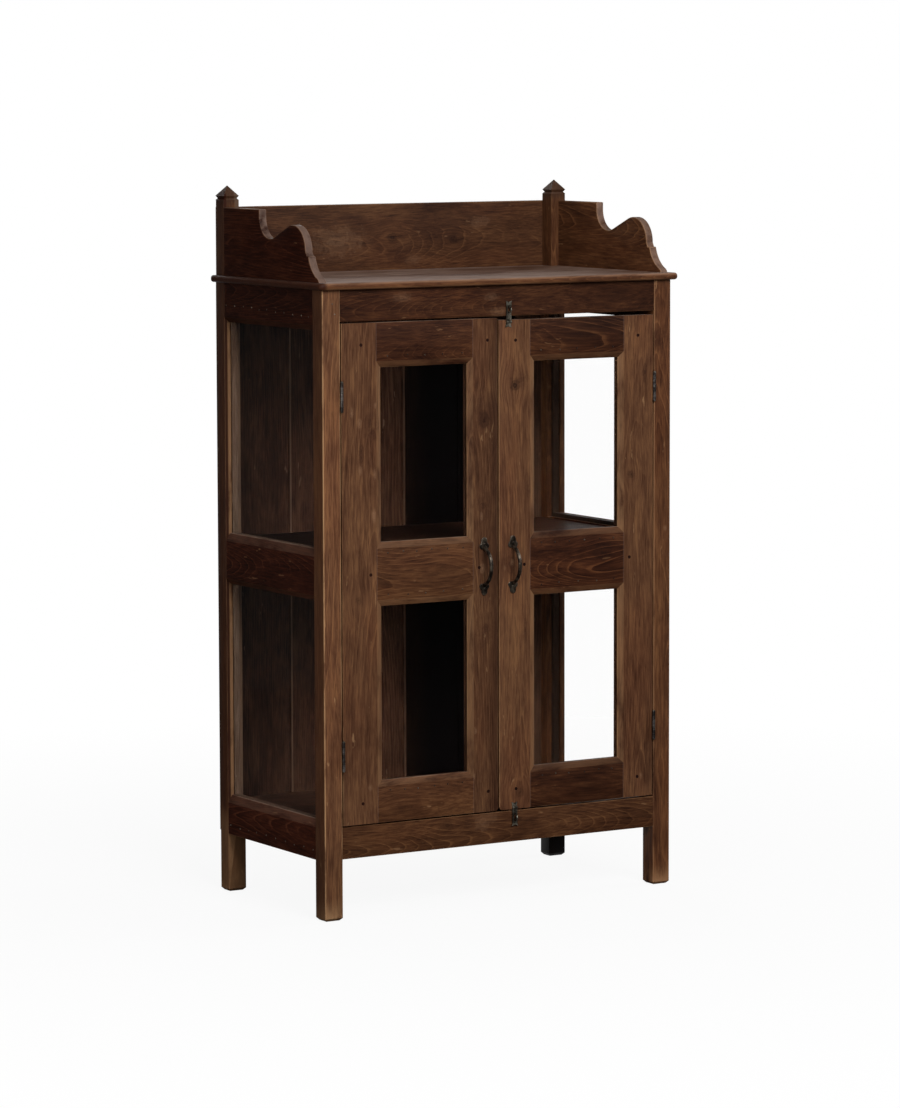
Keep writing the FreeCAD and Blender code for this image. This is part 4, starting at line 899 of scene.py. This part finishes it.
# %% Material: glass
film_stretch, film_edge = (26.0, 26.0, 9.0), (0.45, 0.75)
film_tint = (0.994, 0.996, 0.994, 1.0)
pane_bending = 1.10


def window_glass():
    """Clear pane with a faint, uneven film."""
    material, tree, shader = new_material("window glass")
    where = add(tree, "ShaderNodeTexCoord").outputs["Object"]
    film = ramp(tree, noise(tree, where, film_stretch, 4.0, 0.6)["Fac"], *film_edge)
    feed(tree, shader, {"Base Color": mixed(tree, film, WHITE, film_tint)})
    shader.inputs["Roughness"].default_value = 0.0
    shader.inputs["Transmission Weight"].default_value = 1.0
    shader.inputs["IOR"].default_value = pane_bending
    shadow = add(tree, "ShaderNodeLightPath").outputs["Is Shadow Ray"]
    clear = add(tree, "ShaderNodeBsdfTransparent").outputs[0]
    pane = add(tree, "ShaderNodeMixShader", {0: shadow, 1: shader.outputs[0], 2: clear}).outputs[0]
    feed(tree, tree.nodes["Material Output"], {"Surface": pane})
    return material


glass = window_glass()
panes = [name for name in nodes if name.endswith("_pane")]
for name in panes:
    finished(name, glass)
print(len(panes), "panes glazed")

# %% [markdown]
# ## Iron
# Handles, hinges and hasps are iron: black in the hollows, rubbed grey on the high places, with a little
# rust. One group mixes the three by noise, and each material sets its own colours and share of rust.

# %% Node group: iron skin
IRON_NOISES = {
    # mask: cycles per metre, detail, roughness
    "rubbed": (90.0, 4.0, 0.60),
    "pitted": (700.0, 3.0, 0.60),
    "rusty": (210.0, 4.0, 0.65),
}
rubbed_edge, rusty_edge = (0.42, 0.66), (0.50, 0.70)
bright_roughness, pit_roughness, rust_roughness = 0.22, 0.30, 0.30


def iron_skin():
    """Colour, roughness and height of old iron."""
    inputs = {"Vector": "Vector", "Rust": "Float", "Black": "Color", "Grey": "Color", "Brown": "Color"}
    outputs = {"Color": "Color", "Roughness": "Float", "Height": "Float"}
    group, given, outlet = new_group("iron skin", inputs, outputs)
    drawn = {mask: noise(group, given["Vector"], (fine, fine, fine), detail, roughness)["Fac"]
             for mask, (fine, detail, roughness) in IRON_NOISES.items()}
    rubbed = ramp(group, drawn["rubbed"], *rubbed_edge)
    rusty = sum_of(group, "MULTIPLY", ramp(group, drawn["rusty"], *rusty_edge), given["Rust"])
    colour = mixed(group, rusty, mixed(group, rubbed, given["Black"], given["Grey"]), given["Brown"])
    pitted = sum_of(group, "MULTIPLY", drawn["pitted"], pit_roughness)
    roughness = sum_of(group, "ADD", pitted, bright_roughness)
    roughness = sum_of(group, "ADD", roughness, sum_of(group, "MULTIPLY", rusty, rust_roughness))
    results = {"Color": colour, "Roughness": roughness, "Height": drawn["pitted"]}
    return close_group(group, outlet, results)


iron_group = iron_skin()

# %% Materials: iron
IRON_BUMP = {"Strength": 0.35, "Distance": 0.4 * MM}
iron_metal = 0.85


def iron(name, black, grey, brown, rust):
    """Old iron with its own colours and share of rust."""
    material, tree, shader = new_material(name)
    where = add(tree, "ShaderNodeTexCoord").outputs["Object"]
    inputs = {"Vector": where, "Black": black, "Grey": grey, "Brown": brown, "Rust": rust}
    skin = add(tree, "ShaderNodeGroup", inputs, node_tree=iron_group).outputs
    bump = add(tree, "ShaderNodeBump", {"Height": skin["Height"], **IRON_BUMP}).outputs["Normal"]
    feed(tree, shader, {"Base Color": skin["Color"], "Roughness": skin["Roughness"], "Normal": bump})
    shader.inputs["Metallic"].default_value = iron_metal
    return material


black_iron = iron("black iron", rgb(32, 27, 22), rgb(92, 83, 72), rgb(64, 44, 30), 0.6)
hasp_steel = iron("hasp steel", rgb(64, 60, 52), rgb(150, 144, 130), rgb(64, 50, 38), 0.7)
hinge_iron = iron("hinge iron", rgb(46, 42, 40), rgb(112, 106, 102), rgb(58, 42, 32), 0.5)
for name in ("post_hinge_leaves", "left_door_hinge_leaves", "right_door_hinge_leaves"):
    finished(name, hinge_iron)
for name in ("hinge_pins", "hasp_leaves", "hasp_staples", "top_hasp_strap", "bottom_hasp_strap"):
    finished(name, hasp_steel)
print("iron for hinges and hasps")

# %% [markdown]
# ## Screws and nails
# Two small fasteners repeat all over the cabinet. Each is modelled once from a sphere: cut at its
# equator, closed, and flattened to a low dome. The screw also gets its slot, cut with a boolean. They are
# made at the origin, looking along -Y, and copied to their places with a matrix.

# %% Model a dome head, with or without a slot
def dome_head(name, radius, rise, around, slot_width=0.0):
    """Low dome at the origin that looks along -Y."""
    bpy.ops.object.select_all(action="DESELECT")
    bpy.ops.mesh.primitive_uv_sphere_add(
        segments=around, ring_count=8, radius=radius, rotation=(math.pi / 2, 0.0, 0.0))
    head = bpy.context.object
    head.name = name
    bpy.ops.object.transform_apply(location=False, rotation=True, scale=False)
    bpy.ops.object.mode_set(mode="EDIT")
    bpy.ops.mesh.select_all(action="SELECT")
    bpy.ops.mesh.bisect(plane_co=(0.0, 0.0, 0.0), plane_no=(0.0, 1.0, 0.0), use_fill=True, clear_outer=True)
    bpy.ops.mesh.select_all(action="SELECT")
    bpy.ops.transform.resize(value=(1.0, rise / radius, 1.0), center_override=(0.0, 0.0, 0.0))
    bpy.ops.mesh.normals_make_consistent(inside=False)
    bpy.ops.object.mode_set(mode="OBJECT")
    if slot_width:
        bpy.ops.object.select_all(action="DESELECT")
        bpy.ops.mesh.primitive_cube_add(size=1.0, location=(0.0, -rise, 0.0))
        blade = bpy.context.object
        blade.scale = (radius * 3, rise, slot_width)
        cut = head.modifiers.new("slot", "BOOLEAN")
        cut.operation = "DIFFERENCE"
        cut.solver = "EXACT"
        cut.object = blade
        only(head)
        bpy.ops.object.modifier_apply(modifier="slot")
        bpy.data.objects.remove(blade)
    return head


screw_radius, screw_rise, screw_slot = 2.5 * MM, 1.2 * MM, 0.7 * MM
nail_radius, nail_rise = 1.5 * MM, 0.7 * MM
screw = dome_head("screw_model", screw_radius, screw_rise, 20, screw_slot)
nail = dome_head("nail_model", nail_radius, nail_rise, 10)
print("screw:", len(screw.data.polygons), "faces, nail:", len(nail.data.polygons), "faces")

# %% Copy and join
round_angle = 35.0


def placed(model, name, matrix):
    """Copy of a model with its own mesh, moved to its place in that mesh."""
    copy = bpy.data.objects.new(name, model.data.copy())
    bpy.context.scene.collection.objects.link(copy)
    copy.data.transform(matrix)
    return copy


def joined(pieces, name):
    """Several objects joined to one piece, smooth where it is round."""
    bpy.ops.object.select_all(action="DESELECT")
    for item in pieces:
        item.select_set(True)
    bpy.context.view_layer.objects.active = pieces[0]
    bpy.ops.object.join()
    piece = bpy.context.object
    piece.name = name
    piece.data.materials.clear()
    bpy.ops.object.shade_smooth_by_angle(angle=math.radians(round_angle))
    return piece


# %% [markdown]
# ## Handles
# Each handle is a forged bow between two lobed leaves, screwed through the leaf. The bow is a circle spun
# along an arc, then swelled in the middle and at its roots, which a curve with one thickness couldn't be.

# %% Model a bow
bow_radius = 3.1 * MM
bow_swell, bow_taper = 1.12, 0.22
root_swell, root_start = 2.6, 0.82


def handle_bow(middle, reach, half_height):
    """Bow in the YZ plane; middle lies on the face of the door."""
    deep = reach - bow_radius
    arc = (half_height ** 2 + deep ** 2) / (2 * deep)
    open_angle = math.asin(half_height / arc)
    if deep >= arc:
        open_angle = math.pi - open_angle
    centre = middle + Vector((0.0, arc - deep, 0.0))
    root = middle - Vector((0.0, 0.0, half_height))
    bpy.ops.object.select_all(action="DESELECT")
    bpy.ops.mesh.primitive_circle_add(
        vertices=16, radius=bow_radius, location=root, rotation=(open_angle, 0.0, 0.0))
    bow = bpy.context.object
    bpy.ops.object.transform_apply(location=True, rotation=True, scale=True)
    bpy.ops.object.mode_set(mode="EDIT")
    bpy.ops.mesh.select_all(action="SELECT")
    bpy.ops.mesh.spin(steps=28, angle=2 * open_angle, center=centre, axis=(1.0, 0.0, 0.0))
    bpy.ops.mesh.select_all(action="SELECT")
    bpy.ops.mesh.fill_holes(sides=0)
    bpy.ops.mesh.normals_make_consistent(inside=False)
    mesh = bmesh.from_edit_mesh(bow.data)
    for vert in mesh.verts:
        turned = math.atan2(vert.co.z - centre.z, centre.y - vert.co.y)
        ring = centre + Vector((0.0, -arc * math.cos(turned), arc * math.sin(turned)))
        share = abs(turned) / open_angle
        swell = bow_swell - bow_taper * share ** 2 + root_swell * max(0.0, share - root_start)
        vert.co = ring + (vert.co - ring) * swell
    bmesh.update_edit_mesh(bow.data)
    bpy.ops.object.mode_set(mode="OBJECT")
    return bow


# %% [markdown]
# ## Leaves
# A leaf has a round tip, a broad middle and two lobes at the side of the bow. It starts as a flat disc.
# Each point of the rim is moved out to the farthest of four circles, which gives the lobes and the notches
# between them in one formula, and the leaf is then extruded and chamfered by an inset.

# %% Model a leaf
leaf_rise = 2.0 * MM
leaf_chamfer = 1.0 * MM
rim_share = 0.6
LEAF_LOBES = [
    # aside, towards the tip, radius, all in mm
    (0.0, 6.2, 6.0),
    (0.0, 1.0, 6.8),
    (4.3, -3.6, 5.5),
    (-4.3, -3.6, 5.5),
]


def leaf_reach(angle):
    """Distance from the leaf's middle to its rim, the farthest of its round lobes."""
    reaches = []
    for aside, along, radius in LEAF_LOBES:
        ahead = aside * math.sin(angle) + along * math.cos(angle)
        off = aside * math.cos(angle) - along * math.sin(angle)
        if abs(off) < radius:
            reaches.append(ahead + math.sqrt(radius ** 2 - off ** 2))
    return max(reaches) * MM


def handle_leaf(centre, up):
    """Lobed leaf on the face of the door; up is 1 or -1 for its tip."""
    bpy.ops.object.select_all(action="DESELECT")
    bpy.ops.mesh.primitive_circle_add(
        vertices=60, radius=leaf_reach(0.0), fill_type="NGON", location=centre,
        rotation=(math.pi / 2, 0.0, 0.0))
    leaf = bpy.context.object
    bpy.ops.object.transform_apply(location=True, rotation=True, scale=True)
    bpy.ops.object.mode_set(mode="EDIT")
    mesh = bmesh.from_edit_mesh(leaf.data)
    for vert in mesh.verts:
        apart = vert.co - centre
        vert.co = centre + apart.normalized() * leaf_reach(math.atan2(apart.x, apart.z * up))
    bmesh.update_edit_mesh(leaf.data)
    bpy.ops.mesh.select_all(action="SELECT")
    bpy.ops.mesh.extrude_region_move(TRANSFORM_OT_translate={"value": (0.0, -leaf_rise * rim_share, 0.0)})
    bpy.ops.mesh.inset(thickness=leaf_chamfer)
    bpy.ops.transform.translate(value=(0.0, -leaf_rise * (1.0 - rim_share), 0.0))
    bpy.ops.mesh.select_all(action="SELECT")
    bpy.ops.mesh.normals_make_consistent(inside=False)
    bpy.ops.object.mode_set(mode="OBJECT")
    return leaf


# %% Put the handles together
leaf_middle = 39.5 * MM
root_inset = 5.4 * MM
screw_seat = leaf_rise * 0.9


def door_handle(side):
    """One whole handle in the place of the solid one."""
    low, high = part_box(side + "_door_handle")
    middle = Vector(((low.x + high.x) / 2, high.y, (low.z + high.z) / 2))
    parts = [handle_bow(middle, high.y - low.y, leaf_middle - root_inset)]
    for up in (1, -1):
        centre = middle + Vector((0.0, 0.0, up * leaf_middle))
        parts.append(handle_leaf(centre, up))
        turned = Matrix.Rotation(draw.uniform(0.0, math.pi), 4, "Y")
        seated = Matrix.Translation(centre - Vector((0.0, screw_seat, 0.0)))
        parts.append(placed(screw, "screw", seated @ turned))
    handle = joined(parts, side + "_handle_forged")
    handle.data.materials.append(black_iron)
    settle(handle, side + "_door", "iron", side + "_door_handle")
    low, high = [Vector(corner) for corner in (handle.bound_box[0], handle.bound_box[6])]
    size = [round(v / MM, 1) for v in high - low]
    print(handle.name, len(handle.data.polygons), "faces, size in mm", size)


for side in ("left", "right"):
    door_handle(side)

# %% [markdown]
# ## Rows of nails
# Along the side rails small bright nails hold the cleats and the beads from outside, and darker ones sit
# round the door windows. One row is a straight line of copies with a little disorder, because nails that
# are set by hand never line up. A row is joined to one piece, which keeps the list of pieces short.

# %% Nails
bright_nail = iron("bright nail", rgb(76, 64, 54), rgb(140, 126, 112), rgb(84, 60, 44), 0.5)
stray_aside, stray_up = 3.0, 1.5
forwards = (0.0, -1.0, 0.0)


def nail_row(start, end, count, way):
    """Copies of the nail from start to end; way is the direction that they look in."""
    turned = Vector(forwards).rotation_difference(Vector(way)).to_matrix().to_4x4()
    aside = Vector(way).cross(Vector((0.0, 0.0, 1.0)))
    row = []
    for index in range(count):
        place = Vector(start).lerp(Vector(end), index / max(1, count - 1))
        stray = aside * draw.uniform(-stray_aside, stray_aside)
        place += (stray + Vector((0.0, 0.0, draw.uniform(-stray_up, stray_up)))) * MM
        row.append(placed(nail, "nail", Matrix.Translation(place) @ turned))
    return row


def nailed(row, name, body, material):
    """A row of nails as one piece on its body."""
    piece = joined(row, name)
    piece.data.materials.append(material)
    settle(piece, body, "iron")
    print(name, "with", len(row), "nails")


# %% Rows on the sides
SIDE_ROWS = [
    # rail, height over its lower edge in mm at the front and at the back, nails
    ("top", 24.0, 32.0, 11),
    ("bottom", 17.0, 17.0, 10),
]
row_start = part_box("front_left_post")[1].y + 10.0 * MM
row_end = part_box("back_left_post")[0].y - 8.0 * MM
for side, way in (("left", -1.0), ("right", 1.0)):
    row = []
    for level, front_rise, back_rise, count in SIDE_ROWS:
        low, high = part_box("%s_side_%s_rail" % (side, level))
        face = low.x if way < 0 else high.x
        start = (face, row_start, low.z + front_rise * MM)
        end = (face, row_end, low.z + back_rise * MM)
        row += nail_row(start, end, count, (way, 0.0, 0.0))
    nailed(row, side + "_side_nails", "cabinet", bright_nail)

# %% Rows on the front
post_aside = 22.0 * MM
post_drops = (24.0 * MM, 43.0 * MM)
low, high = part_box("front_left_post")
ends = [(low.x + post_aside, low.y, high.z - drop) for drop in post_drops]
nailed(nail_row(*ends, len(ends), forwards), "post_nails", "cabinet", bright_nail)
nail_inset = 19.0 * MM
low_count, high_count = 6, 5
for side in ("left", "right"):
    rails = {level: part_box("%s_door_%s_rail" % (side, level)) for level in ("bottom", "middle", "top")}
    face = rails["bottom"][0].y
    heights = []
    for under, over in (("bottom", "middle"), ("middle", "top")):
        heights.append((rails[under][1].z - nail_inset, low_count))
        heights.append((rails[over][0].z + nail_inset, high_count))
    low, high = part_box(side + "_door_upper_pane")
    row = []
    for height, count in heights:
        start, end = (low.x + nail_inset, face, height), (high.x - nail_inset, face, height)
        row += nail_row(start, end, count, forwards)
    nailed(row, side + "_door_nails", side + "_door", black_iron)
bpy.data.objects.remove(screw)
bpy.data.objects.remove(nail)

# %% [markdown]
# ## Size
# The visual model has to keep the size of the frame. The last line prints the box of the visual model.

# %% Sizes
low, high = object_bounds()
print("visual box", [round(v, 4) for v in low], [round(v, 4) for v in high])
